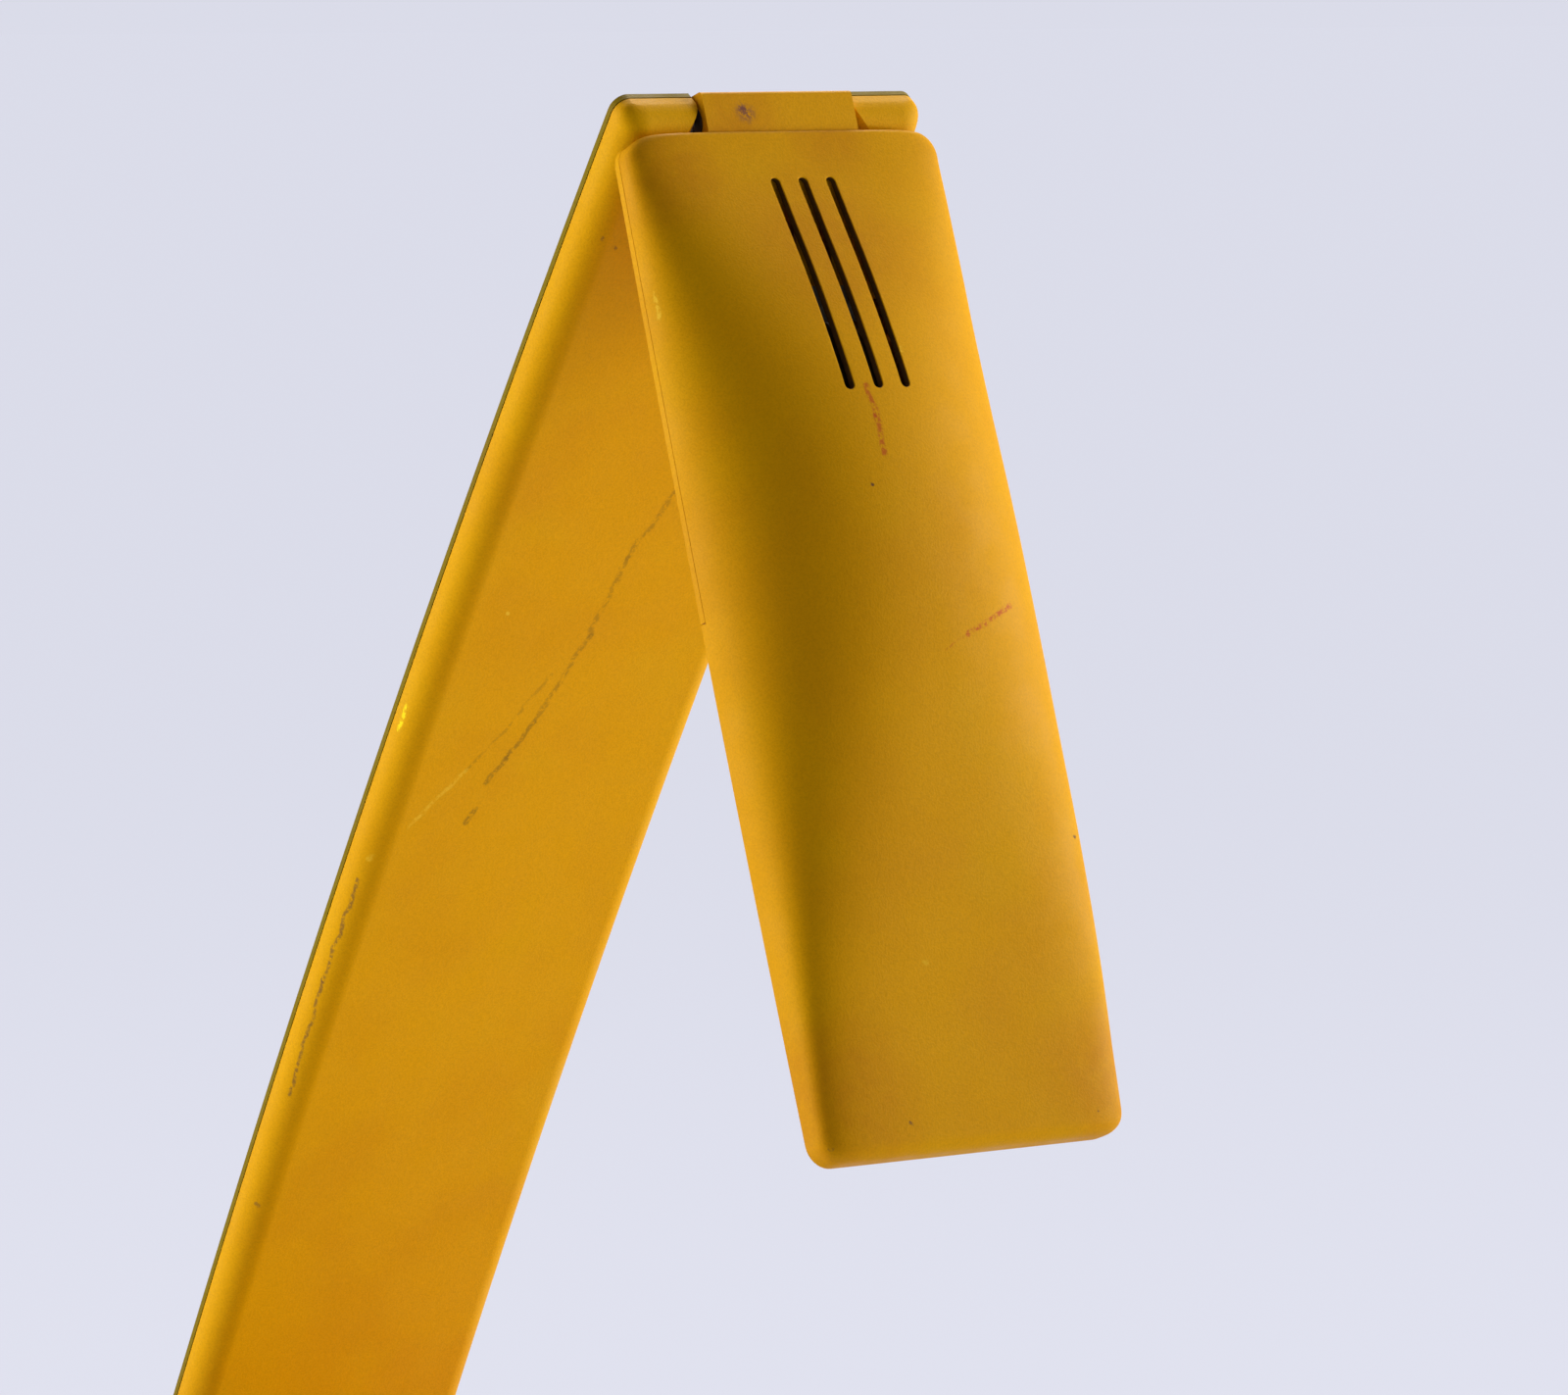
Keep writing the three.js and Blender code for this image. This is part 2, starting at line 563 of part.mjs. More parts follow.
addPart(armGroup, 'arm_front_cover', armFrontCover(), YELLOW);
addPart(armGroup, 'arm_back_plate', armBackPlate(), OLIVE);
addPart(armGroup, 'arm_stiffener', armStrip([-14, 14], [3.2, 4.8], [24, 366]), STEEL);
addPart(armGroup, 'arm_lead_left', armStrip([-20, -18], [3, 5], [22, 368]), COPPER);
addPart(armGroup, 'arm_lead_right', armStrip([18, 20], [3, 5], [22, 368]), COPPER);
ARM_SCREWS.forEach(([x, s], i) => {
  const body = screw(2.8, 1.4, 1.05, 6.2).rotateX(Math.PI / 2).translate(x, 1.4 + GAP, 0);
  addPart(armGroup, `arm_screw_${i + 1}`, onArm(body, s), STEEL);
});
PIN_PLACES.forEach(({ s, radius, name }) => {
  const pin = bar('x', radius, [-PIN_LENGTH / 2, PIN_LENGTH / 2], [-PIN_DEPTH, 0], 24);
  addPart(armGroup, `${name}_hinge_pin`, onArm(pin, s), STEEL);
  const x = (TONGUE_WIDTH / 2 + NOTCH_WIDTH / 2) / 2;
  addPart(armGroup, `${name}_washer_left`,
    onArm(washer(-x, radius + 0.15, 4, [-PIN_DEPTH, 0]), s), BLACK);
  addPart(armGroup, `${name}_washer_right`,
    onArm(washer(x, radius + 0.15, 4, [-PIN_DEPTH, 0]), s), BLACK);
});

// ---------- head ----------

// The head's group has its origin on the upper pin; h runs down the head, n out of the dome.
const upperPin = armPoint(0, ARM_END, PIN_DEPTH);
const headHinge = frameGroup(armGroup, upperPin, -HEAD_TILT - ARM_LEAN);
const headPoint = (x, h, n) => [x, -n, -h];

const headBlock = ([x0, x1], [h0, h1], [n0, n1]) => block([x0, x1], [-n1, -n0], [-h1, -h0]);

function headHalfWidth(h) {
  const t = THREE.MathUtils.clamp((h - HEAD_START) / (HEAD_END - HEAD_START), 0, 1);
  return HEAD_HALF_START + (HEAD_HALF_END - HEAD_HALF_START) * t + HEAD_BULGE * 4 * t * (1 - t);
}

// One arch of the dome; insets shrink its half-width and height.
function archRing(h, sideInset, topInset) {
  const half = headHalfWidth(h) - sideInset;
  const height = smooth(DOME_HEIGHT, h) - topInset;
  const power = 2 / smooth(DOME_SQUARENESS, h);
  const steps = 21;
  return Array.from({ length: steps + 1 }, (_, i) => {
    const angle = Math.PI * i / steps;
    const cosine = Math.cos(angle);
    const x = half * Math.sign(cosine) * Math.abs(cosine) ** power;
    return headPoint(x, h, HEAD_RIM + height * Math.abs(Math.sin(angle)) ** power);
  });
}

const HEAD_STATIONS = [
  10, 17, 25, 34, 43, 53, 65, 80, 95, 108, 120, 132, 146, 163, 182, 200,
];

function headOuter() {
  const startSteps = [0, 0.5, 1.2, 2.4, 4, 5.6].map((d) => HEAD_START + d);
  const endSteps = [8, 5, 3, 1.8, 0.9, 0.3, 0].map((d) => HEAD_END - d);
  const rings = [...startSteps, ...HEAD_STATIONS, ...endSteps].map((h) => {
    const side = roundOff(h - HEAD_START, HEAD_CORNER_START)
      + roundOff(HEAD_END - h, HEAD_CORNER_END);
    const top = 0.8 * roundOff(h - HEAD_START, 1) + roundOff(HEAD_END - h, 3);
    return archRing(h, side, top);
  });
  return loft(rings);
}

// Space inside the shell: open at the rim and at the hinge end.
function headInner(sideInset, topInset, endWall) {
  const endSteps = [5, 2.5, 0.8, 0].map((d) => HEAD_END - endWall - d);
  const rings = [-4, HEAD_START, 5, ...HEAD_STATIONS, ...endSteps].map((h) => {
    const fromEnd = HEAD_END - endWall + 1.2 - h;
    const side = sideInset + roundOff(fromEnd, HEAD_CORNER_END);
    const thin = THREE.MathUtils.smoothstep(h, HEAD_START, 18);
    const top = topInset - (DOME_WALL - DOME_WALL_START) * (1 - thin)
      + roundOff(fromEnd, 3);
    const arch = archRing(h, side, top);
    const below = ([x, y, z]) => [x, y + 6, z];
    return [below(arch[0]), ...arch, below(arch[arch.length - 1])];
  });
  return loft(rings);
}

function coolingSlot(x) {
  const length = SLOT_END - SLOT_START - SLOT_WIDTH;
  const ends = [SLOT_START + SLOT_WIDTH / 2, SLOT_END - SLOT_WIDTH / 2];
  const middle = headBlock([x - SLOT_WIDTH / 2, x + SLOT_WIDTH / 2],
    [ends[0], ends[0] + length], [1, 30]);
  return join(middle, ...ends.map((h) => bar('y', SLOT_WIDTH / 2, [-30, -1], [x, -h], 12)));
}

const FRAME_SCREWS = [
  { x: -25, h: 24 }, { x: 25, h: 24 }, { x: -31, h: 99 }, { x: 31, h: 99 },
];
const COVER_SCREWS = [{ x: 0, h: 116 }, { x: 0, h: 205 }];
const COVER_LOW = 0.3;
const COVER_HIGH = 1.9;

const rampSlope = (RAMP_START_HEIGHT - HEAD_RIM) / (RAMP_END - RAMP_START);
const rampLow = (h) => HEAD_RIM + Math.max(0, RAMP_END - h) * rampSlope;

function domeHeightAt(x, h) {
  const power = smooth(DOME_SQUARENESS, h);
  const fall = 1 - (Math.abs(x) / headHalfWidth(h)) ** power;
  return HEAD_RIM + smooth(DOME_HEIGHT, h) * fall ** (1 / power);
}

// Screw posts hang from the dome to just above the piece that they hold.
function headPost({ x, h }, low) {
  const radius = 2.6;
  const top = domeHeightAt(Math.abs(x) + radius, h) - DOME_WALL / 2;
  return bar('y', radius, [-top, -low - GAP], [x, -h], 14);
}

function headShell() {
  const outer = headOuter();
  const posts = [
    ...FRAME_SCREWS.map((place) => headPost(place, rampLow(place.h) + RAMP_THICKNESS)),
    ...COVER_SCREWS.map((place) => headPost(place, COVER_HIGH)),
  ];
  const pilots = [...FRAME_SCREWS, ...COVER_SCREWS].map(({ x, h }) =>
    bar('y', 1, [-rampLow(h) - 6.2, 5], [x, -h], 10));
  const body = join(cut(outer, headInner(HEAD_SIDE_WALL, DOME_WALL, HEAD_END_WALL)), ...posts);
  const seam = headBlock([-60, 60], [-9, FRAME_END + GAP], [-9, SEAM_TOP]);
  const slots = [-1, 0, 1].map((i) => coolingSlot(i * SLOT_PITCH));
  return cut(body, seam, ...pilots, ...slots);
}

function frameTongue() {
  const front = TONGUE_FRONT;
  const profile = [
    [-5.6, 0], [-5.6, front - 1], [-5.3, front - 0.3], [-4.6, front], [2.7, front],
    [3.4, front - 0.4], [17, front - 0.4], [17, 4.6], [8.5, 4.6], [5.4, 2.4],
    ...arc([0, 0], TONGUE_ROUND, 0, -150, 10),
  ].map(([h, n]) => [-n, -h]);
  return acrossProfile(profile, TONGUE_WIDTH);
}

// Sloping floor of the frame with the lamp window.
function frameRamp() {
  const [start, end] = [14, RAMP_END + 1];
  const outline = [[-26, start], [26, start], [34.5, 30], [36, 50], [36, end], [-36, end],
    [-36, 50], [-34.5, 30]];
  const shape = new THREE.Shape(outline.map(([x, h]) => new THREE.Vector2(x, -h)));
  const flat = new THREE.ExtrudeGeometry(shape, { depth: RAMP_THICKNESS, bevelEnabled: false });
  const low = HEAD_RIM;
  flat.rotateX(Math.PI / 2);
  flat.translate(0, -low, RAMP_END);
  flat.rotateX(Math.atan(rampSlope));
  return flat.translate(0, 0, -RAMP_END);
}

function headFrame() {
  const outer = headOuter();
  const rim = common(outer, headBlock([-60, 60], [5, FRAME_END], [HEAD_RIM, FRAME_TOP]));
  const clear = headHalfWidth(FRAME_END / 2) - HEAD_SIDE_WALL - 0.4;
  const strips = cut(rim, headBlock([-clear, clear], [-9, 98], [-9, 9]));
  const window = headBlock([-WINDOW_WIDTH / 2, WINDOW_WIDTH / 2],
    [WINDOW_CENTRE - WINDOW_LENGTH / 2, WINDOW_CENTRE + WINDOW_LENGTH / 2], [-9, 12]);
  const holes = FRAME_SCREWS.map(({ x, h }) => bar('y', 1.5, [-12, 5], [x, -h], 12));
  const bores = bar('x', TOP_PIN_RADIUS + 0.1, [-30, 30], [0, 0], 24);
  return cut(join(strips, frameRamp(), frameTongue()), window, bores, ...holes);
}

function headUnderCover() {
  const slab = headBlock([-60, 60], [FRAME_END + 1, HEAD_END], [COVER_LOW, COVER_HIGH]);
  const space = headInner(HEAD_SIDE_WALL + GAP, DOME_WALL + GAP, HEAD_END_WALL + GAP);
  const body = common(space, slab);
  return cut(body, ...COVER_SCREWS.map(({ x, h }) => bar('y', 1.5, [-9, 5], [x, -h], 12)));
}

addPart(headHinge, 'head_shell', headShell(), YELLOW);
addPart(headHinge, 'head_frame', headFrame(), YELLOW);
addPart(headHinge, 'head_under_cover', headUnderCover(), YELLOW);
FRAME_SCREWS.forEach(({ x, h }, i) => {
  const seat = rampLow(h) - GAP;
  const body = screw(2.3, 1.1, 0.85, 4.6).rotateX(Math.PI / 2).translate(x, -seat + 1.1, -h);
  addPart(headHinge, `frame_screw_${i + 1}`, body, STEEL);
});
COVER_SCREWS.forEach(({ x, h }, i) => {
  const body = screw(2.3, 1, 0.85, 4).rotateX(Math.PI / 2);
  addPart(headHinge, `cover_screw_${i + 1}`, body.translate(x, 1, -h), STEEL);
});

// Lamp unit on the sloping floor: safety glass, reflector bowl, ceramic holder, capsule.
const lampUnit = frameGroup(headHinge,
  [0, -rampLow(WINDOW_CENTRE), -WINDOW_CENTRE],
  THREE.MathUtils.radToDeg(Math.atan(rampSlope)));
const GLASS_LOW = RAMP_THICKNESS + GAP;
const GLASS_HIGH = GLASS_LOW + 2;
const MOUTH = GLASS_HIGH + GAP;
const GLASS_SIZE = { x: 52, z: 60 };
const REFLECTOR_HALF = { x: 24, z: 28, depth: 11.8 };
const REFLECTOR_THICKNESS = 0.05; // as a share of its half-widths
const FLANGE_THICKNESS = 0.8;
const LAMP_HEIGHT = MOUTH + 3.9;
const HOLDER = { x: 7, from: 20.5, to: 32, low: MOUTH + GAP, high: MOUTH + 5.2 };

function safetyGlass() {
  return plate(GLASS_SIZE.x, GLASS_SIZE.z, 3, [0, GLASS_HIGH - GLASS_LOW]).rotateX(Math.PI / 2)
    .translate(0, -GLASS_LOW, 0);
}

function holderBlock(clearance) {
  const { x, from, to, low, high } = HOLDER;
  return block([-x - clearance, x + clearance], [-high - clearance, -low + clearance],
    [from - clearance, to + clearance]);
}

// Oval bowl with a flat flange that covers the glass.
function reflectorBowl() {
  const inside = 1 - REFLECTOR_THICKNESS;
  const outer = arc([0, 0], 1, 0, 90, 6);
  const inner = arc([0, 0], inside, 90, 0, 6);
  const profile = [...outer, ...inner, outer[0]].map(([r, y]) => new THREE.Vector2(r, y));
  profile.forEach((point) => { if (Math.abs(point.x) < 1e-9) point.x = 0; });
  const bowl = new THREE.LatheGeometry(profile, 24);
  const { x, z, depth } = REFLECTOR_HALF;
  bowl.scale(x, -depth, z);
  bowl.index.array.reverse();
  const flange = plate(GLASS_SIZE.x, GLASS_SIZE.z, 3, [0, FLANGE_THICKNESS]).rotateX(Math.PI / 2);
  const mouth = bar('y', inside, [-5, 5], [0, 0], 24).scale(x, 1, z);
  const body = join(bowl, cut(flange, mouth)).translate(0, -MOUTH, 0);
  return cut(body, holderBlock(GAP));
}

function lampholder() {
  const sockets = [-2, 2].map((x) => bar('z', 0.8, [18, 26], [x, -LAMP_HEIGHT], 10));
  const ramp = block([-20, 20], [-LAMP_HEIGHT - 20, -HOLDER.high], [10, 40]);
  return cut(holderBlock(0), ramp, ...sockets);
}

function lampCapsule() {
  const radius = 3.6;
  const profile = [
    [0, -12], [1.2, -11.8], [2.6, -10.8], [radius, -8.5], [radius, 8], [3, 10.5], [2.9, 18.5],
    [0, 18.5],
  ].map(([r, z]) => new THREE.Vector2(r, z));
  return new THREE.LatheGeometry(profile, 20).rotateX(Math.PI / 2)
    .translate(0, -LAMP_HEIGHT, 0);
}

addPart(lampUnit, 'safety_glass', safetyGlass(), GLASS);
addPart(lampUnit, 'reflector', reflectorBowl(), ALUMINIUM);
addPart(lampUnit, 'lampholder', lampholder(), CERAMIC);
addPart(lampUnit, 'lamp_capsule', lampCapsule(), GLASS);
[['left', -2], ['right', 2]].forEach(([side, x]) => {
  const pin = bar('z', 0.5, [18.5 + GAP, 25.5], [x, -LAMP_HEIGHT], 10);
  addPart(lampUnit, `lamp_pin_${side}`, pin, STEEL);
  const lead = bar('z', 0.8, [HOLDER.to + GAP, 50], [2 * x, -GLASS_LOW - 0.8], 10);
  addPart(lampUnit, `head_lead_${side}`, lead, COPPER);
});

export default lamp;
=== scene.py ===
import json
import math

import bmesh
import bpy
import numpy as np
from mathutils import Matrix, Vector

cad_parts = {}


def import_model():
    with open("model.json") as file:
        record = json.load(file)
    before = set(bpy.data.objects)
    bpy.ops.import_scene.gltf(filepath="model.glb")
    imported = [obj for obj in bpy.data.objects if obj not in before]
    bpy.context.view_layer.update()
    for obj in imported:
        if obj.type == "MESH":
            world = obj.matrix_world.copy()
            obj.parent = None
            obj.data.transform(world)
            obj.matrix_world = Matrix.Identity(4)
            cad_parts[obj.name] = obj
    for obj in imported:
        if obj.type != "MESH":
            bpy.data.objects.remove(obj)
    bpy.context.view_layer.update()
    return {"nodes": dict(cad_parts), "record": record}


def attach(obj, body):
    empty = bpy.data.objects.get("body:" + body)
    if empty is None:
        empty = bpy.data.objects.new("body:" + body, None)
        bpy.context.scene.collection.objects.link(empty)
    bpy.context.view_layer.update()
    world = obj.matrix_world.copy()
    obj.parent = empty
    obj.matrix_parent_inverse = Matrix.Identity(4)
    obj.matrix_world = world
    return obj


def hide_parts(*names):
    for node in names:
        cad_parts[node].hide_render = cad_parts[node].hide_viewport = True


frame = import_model()
NODES = frame["nodes"]
NODE_BODY = {node: body for body, nodes in frame["record"]["behaviour"]["bodies"].items()
             for node in nodes}
MM = 0.001

# ---------- dimensions, in millimetres ----------

GAP = 0.3  # between pieces that touch
BASE_WIDTH, BASE_LENGTH, BASE_TOP = 104, 240, 31
BASE_CORNER, BASE_SHOULDER, BASE_WALL = 16, 7, 2.5
PLATE_BOTTOM = 2.5
HINGE_Y, HINGE_HEIGHT = 92, 54
ARM_LEAN, HEAD_TILT = 31.6, 19.05  # degrees the arm leans forward and the head swings out
SWITCH = {"x": 27, "y": -42, "width": 13, "length": 19}
GLAND_RADIUS, GLAND_HEIGHT = 4.5, 15
BASE_SCREWS = [(x, y) for y in (-104, 104) for x in (-40, 40)]

ARM_WIDTH, ARM_THICKNESS, ARM_LENGTH = 75, 9, 390
ARM_MIDDLE, ARM_BOW_RADIUS, ARM_ROUND, ARM_CORNER = 195, 3500, 6, 3.5
ARM_END, ARM_REACH, PIN_DEPTH = 5, 380, 4.3
BACK_PLATE, ARM_WALL = 1.3, 2
ARM_SCREWS = [(x, s) for s in (34, 195, 356) for x in (-28, 28)]
TONGUE_WIDTH, TONGUE_ROUND, NOTCH_WIDTH, NOTCH_DEPTH = 37.4, 5.4, 38.4, 14
PIN_LENGTH, TOP_PIN_RADIUS, LOW_PIN_RADIUS = 66, 1.5, 2.25

HEAD_START, HEAD_END, HEAD_RIM = 3.4, 217.7, -0.8
HEAD_HALF_START, HEAD_HALF_END, HEAD_BULGE = 38.9, 37.5, 0.8
HEAD_CORNER_START, HEAD_CORNER_END = 5.6, 5
SIDE_WALL, DOME_WALL, END_WALL = 1.1, 1.8, 2.4
SEAM_TOP, FRAME_TOP, FRAME_END = 0.95, 0.8, 105
DOME_HEIGHT = [
    (-20, 7.4), (3, 7.4), (12, 8.7), (24, 12.1), (36, 15.7), (49, 19.1), (62, 21.9), (76, 23.8),
    (90, 24.7), (104, 24.5), (118, 23.3), (132, 21.2), (148, 18.5), (166, 15.5), (186, 12.1),
    (204, 9.4), (230, 7.0),
]
DOME_SQUARENESS = [
    (-20, 6), (4, 6), (12, 4.6), (24, 3.3), (40, 2.5), (58, 2.15), (80, 2.1), (115, 2.3),
    (140, 2.8), (165, 3.8), (190, 5.2), (230, 6.5),
]
SLOT_PITCH, SLOT_HALF, SLOT_SPAN = 6.9, 1.1, (14.2, 63)
SLOT_LIP = 0.2
RAMP_START, RAMP_START_HEIGHT, RAMP_END, RAMP_THICKNESS = 4, 5.4, 100, 1.6
WINDOW_CENTRE, WINDOW_WIDTH, WINDOW_LENGTH = 70, 46, 54
FRAME_SCREWS = [(-25, 24), (25, 24), (-31, 99), (31, 99)]
COVER_SCREWS = [(0, 116), (0, 205)]

# ---------- local frames ----------


def tilted(place, degrees):
    """A frame at a place in millimetres, turned about X."""
    return Matrix.Translation(Vector(place) * MM) @ Matrix.Rotation(math.radians(degrees), 4, "X")


def arm_point(x, s, m):
    """x across the arm, s from its top end, m forward of its back face."""
    angle = (ARM_MIDDLE - s) / ARM_BOW_RADIUS
    radius = ARM_BOW_RADIUS - m
    pin_angle = ARM_REACH / 2 / ARM_BOW_RADIUS
    pin_radius = ARM_BOW_RADIUS - PIN_DEPTH
    y = radius * math.cos(angle) - pin_radius * math.cos(pin_angle)
    z = radius * math.sin(angle) + pin_radius * math.sin(pin_angle)
    return (x, y, z)


def head_point(x, h, n):
    """x across the head, h down from its hinge pin, n out of the dome."""
    return (x, -n, -h)


RAMP_SLOPE = (RAMP_START_HEIGHT - HEAD_RIM) / (RAMP_END - RAMP_START)


def ramp_low(h):
    """Height of the lamp window's sloping floor above the pin."""
    return HEAD_RIM + max(0, RAMP_END - h) * RAMP_SLOPE


HERE = Matrix.Identity(4)
ARM = tilted((0, HINGE_Y, HINGE_HEIGHT), ARM_LEAN)
HEAD = ARM @ tilted(arm_point(0, ARM_END, PIN_DEPTH), -ARM_LEAN - HEAD_TILT)
LAMP = HEAD @ tilted(head_point(0, WINDOW_CENTRE, ramp_low(WINDOW_CENTRE)),
                     math.degrees(math.atan(RAMP_SLOPE)))


def on_arm(s):
    """Frame on the arm's back face at a distance from its top end: -Y forward, Z up the arm."""
    _, y, z = arm_point(0, s, 0)
    return ARM @ tilted((0, y, z), math.degrees((ARM_MIDDLE - s) / ARM_BOW_RADIUS))


def smooth_table(table, x):
    """Smooth value at x through a table of (x, value) rows."""
    last = len(table) - 2
    i = min(last, max(0, next((k for k, row in enumerate(table) if row[0] > x), last + 1) - 1))
    (x0, y0), (x1, y1) = table[i], table[i + 1]

    def slope(a, b):
        return (table[b][1] - table[a][1]) / (table[b][0] - table[a][0])

    s0 = slope(max(i - 1, 0), i + 1) * (x1 - x0)
    s1 = slope(i, min(i + 2, last + 1)) * (x1 - x0)
    t = (x - x0) / (x1 - x0)
    t2, t3 = t * t, t ** 3
    return ((2 * t3 - 3 * t2 + 1) * y0 + (t3 - 2 * t2 + t) * s0
            + (3 * t2 - 2 * t3) * y1 + (t3 - t2) * s1)


def round_off(distance, radius):
    """How far a quarter-round has fallen at a distance from its end."""
    if distance >= radius:
        return 0.0
    return radius - math.sqrt(radius ** 2 - (radius - max(distance, 0)) ** 2)


def head_half_width(h):
    t = min(1, max(0, (h - HEAD_START) / (HEAD_END - HEAD_START)))
    return HEAD_HALF_START + (HEAD_HALF_END - HEAD_HALF_START) * t + HEAD_BULGE * 4 * t * (1 - t)


def dome_height(x, h):
    """Height of the dome's outside above the pin."""
    power = smooth_table(DOME_SQUARENESS, h)
    fall = 1 - (abs(x) / head_half_width(h)) ** power
    return HEAD_RIM + smooth_table(DOME_HEIGHT, h) * fall ** (1 / power)


# ---------- solids ----------


def solid(name, points, faces, place):
    mesh = bpy.data.meshes.new(name)
    mesh.from_pydata([Vector(p) * MM for p in points], [], faces)
    work = bmesh.new()
    work.from_mesh(mesh)
    bmesh.ops.recalc_face_normals(work, faces=work.faces)
    work.to_mesh(mesh)
    work.free()
    piece = bpy.data.objects.new(name, mesh)
    bpy.context.scene.collection.objects.link(piece)
    piece.matrix_world = place
    return piece


def loft(name, rings, place):
    """Closed body through rings of equal point count, capped at both ends."""
    count = len(rings[0])
    faces = [
        (r * count + i, r * count + (i + 1) % count,
         (r + 1) * count + (i + 1) % count, (r + 1) * count + i)
        for r in range(len(rings) - 1) for i in range(count)
    ]
    last = (len(rings) - 1) * count
    faces += [tuple(reversed(range(count))), tuple(range(last, last + count))]
    return solid(name, [p for ring in rings for p in ring], faces, place)


def ring_loft(name, rings, place):
    """Closed body through rings of equal point count, the last joined to the first."""
    rows, count = len(rings), len(rings[0])
    faces = [
        (k * count + i, k * count + (i + 1) % count,
         (k + 1) % rows * count + (i + 1) % count, (k + 1) % rows * count + i)
        for k in range(rows) for i in range(count)
    ]
    return solid(name, [p for ring in rings for p in ring], faces, place)


def block(name, xs, ys, zs, place):
    corners = [(x, y) for x, y in ((xs[0], ys[0]), (xs[1], ys[0]), (xs[1], ys[1]), (xs[0], ys[1]))]
    return loft(name, [[(x, y, z) for x, y in corners] for z in zs], place)


def head_block(name, xs, hs, ns):
    return block(name, xs, (-ns[1], -ns[0]), (-hs[1], -hs[0]), HEAD)


def turned(name, profile, place, axis="Z", sides=48):
    """Body turned from (radius, height) points; the ends of the profile are closed."""
    order = {"X": lambda a, b, c: (c, a, b), "Y": lambda a, b, c: (a, c, b),
             "Z": lambda a, b, c: (a, b, c)}[axis]
    angles = [2 * math.pi * i / sides for i in range(sides)]
    rings = [[order(r * math.cos(a), r * math.sin(a), z) for a in angles] for r, z in profile]
    return loft(name, rings, place)


def bar(name, axis, radius, span, at, place, sides=32):
    """Round bar between two values of one axis, at the given values of the other two."""
    piece = turned(name, [(radius, span[0]), (radius, span[1])], place, axis, sides)
    shift = {"X": (0, *at), "Y": (at[0], 0, at[1]), "Z": (*at, 0)}[axis]
    piece.data.transform(Matrix.Translation(Vector(shift) * MM))
    return piece


def across(name, profile, width, place):
    """Profile of (y, z) points carried along X, centred."""
    return loft(name, [[(x, y, z) for y, z in profile] for x in (-width / 2, width / 2)], place)


def arc(centre, radius, start, end, steps):
    angles = np.radians(np.linspace(start, end, steps + 1))
    return [(centre[0] + radius * math.cos(a), centre[1] + radius * math.sin(a)) for a in angles]


def settle(piece):
    """Applies the piece's modifiers to its mesh."""
    bpy.context.view_layer.update()
    graph = bpy.context.evaluated_depsgraph_get()
    mesh = bpy.data.meshes.new_from_object(piece.evaluated_get(graph))
    piece.modifiers.clear()
    piece.data = mesh
    return piece


def boolean(piece, operation, *tools):
    for tool in tools:
        modifier = piece.modifiers.new(operation.lower(), "BOOLEAN")
        modifier.operation = operation
        modifier.solver = "EXACT"
        modifier.object = tool
        settle(piece)
        bpy.data.objects.remove(tool)
    return piece


def cut(piece, *tools):
    return boolean(piece, "DIFFERENCE", *tools)


def join(piece, *tools):
    return boolean(piece, "UNION", *tools)


def soften(piece, width, segments=3, angle=30):
    """Rounds the sharp edges."""
    modifier = piece.modifiers.new("soften", "BEVEL")
    modifier.width = width * MM
    modifier.segments = segments
    modifier.limit_method = "ANGLE"
    modifier.angle_limit = math.radians(angle)
    modifier.harden_normals = False
    return settle(piece)


def shade(piece, angle=32):
    """Smooth shading that keeps sharp edges and leaves large flats flat."""
    for face in piece.data.polygons:
        face.use_smooth = True
    piece.data.set_sharp_from_angle(angle=math.radians(angle))
    modifier = piece.modifiers.new("normals", "WEIGHTED_NORMAL")
    modifier.keep_sharp = True
    settle(piece)


def finish_piece(piece, material, *nodes, angle=32):
    """Gives a piece its material, its body and the CAD nodes it stands for."""
    piece.data.transform(piece.matrix_world)
    piece.matrix_world = HERE
    shade(piece, angle)
    piece.data.materials.clear()
    piece.data.materials.append(material)
    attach(piece, NODE_BODY[nodes[0]])
    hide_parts(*nodes)
    return piece


def refined(node, width, material, segments=2):
    """A copy of a CAD node with its flats merged and its edges rounded."""
    mesh = NODES[node].data.copy()
    work = bmesh.new()
    work.from_mesh(mesh)
    bmesh.ops.remove_doubles(work, verts=work.verts, dist=1e-6)
    bmesh.ops.dissolve_limit(work, angle_limit=math.radians(1), verts=work.verts,
                             edges=work.edges)
    work.to_mesh(mesh)
    work.free()
    piece = bpy.data.objects.new(f"{node}_look", mesh)
    bpy.context.scene.collection.objects.link(piece)
    piece.matrix_world = NODES[node].matrix_world.copy()
    soften(piece, width, segments)
    return finish_piece(piece, material, node)


# ---------- materials ----------


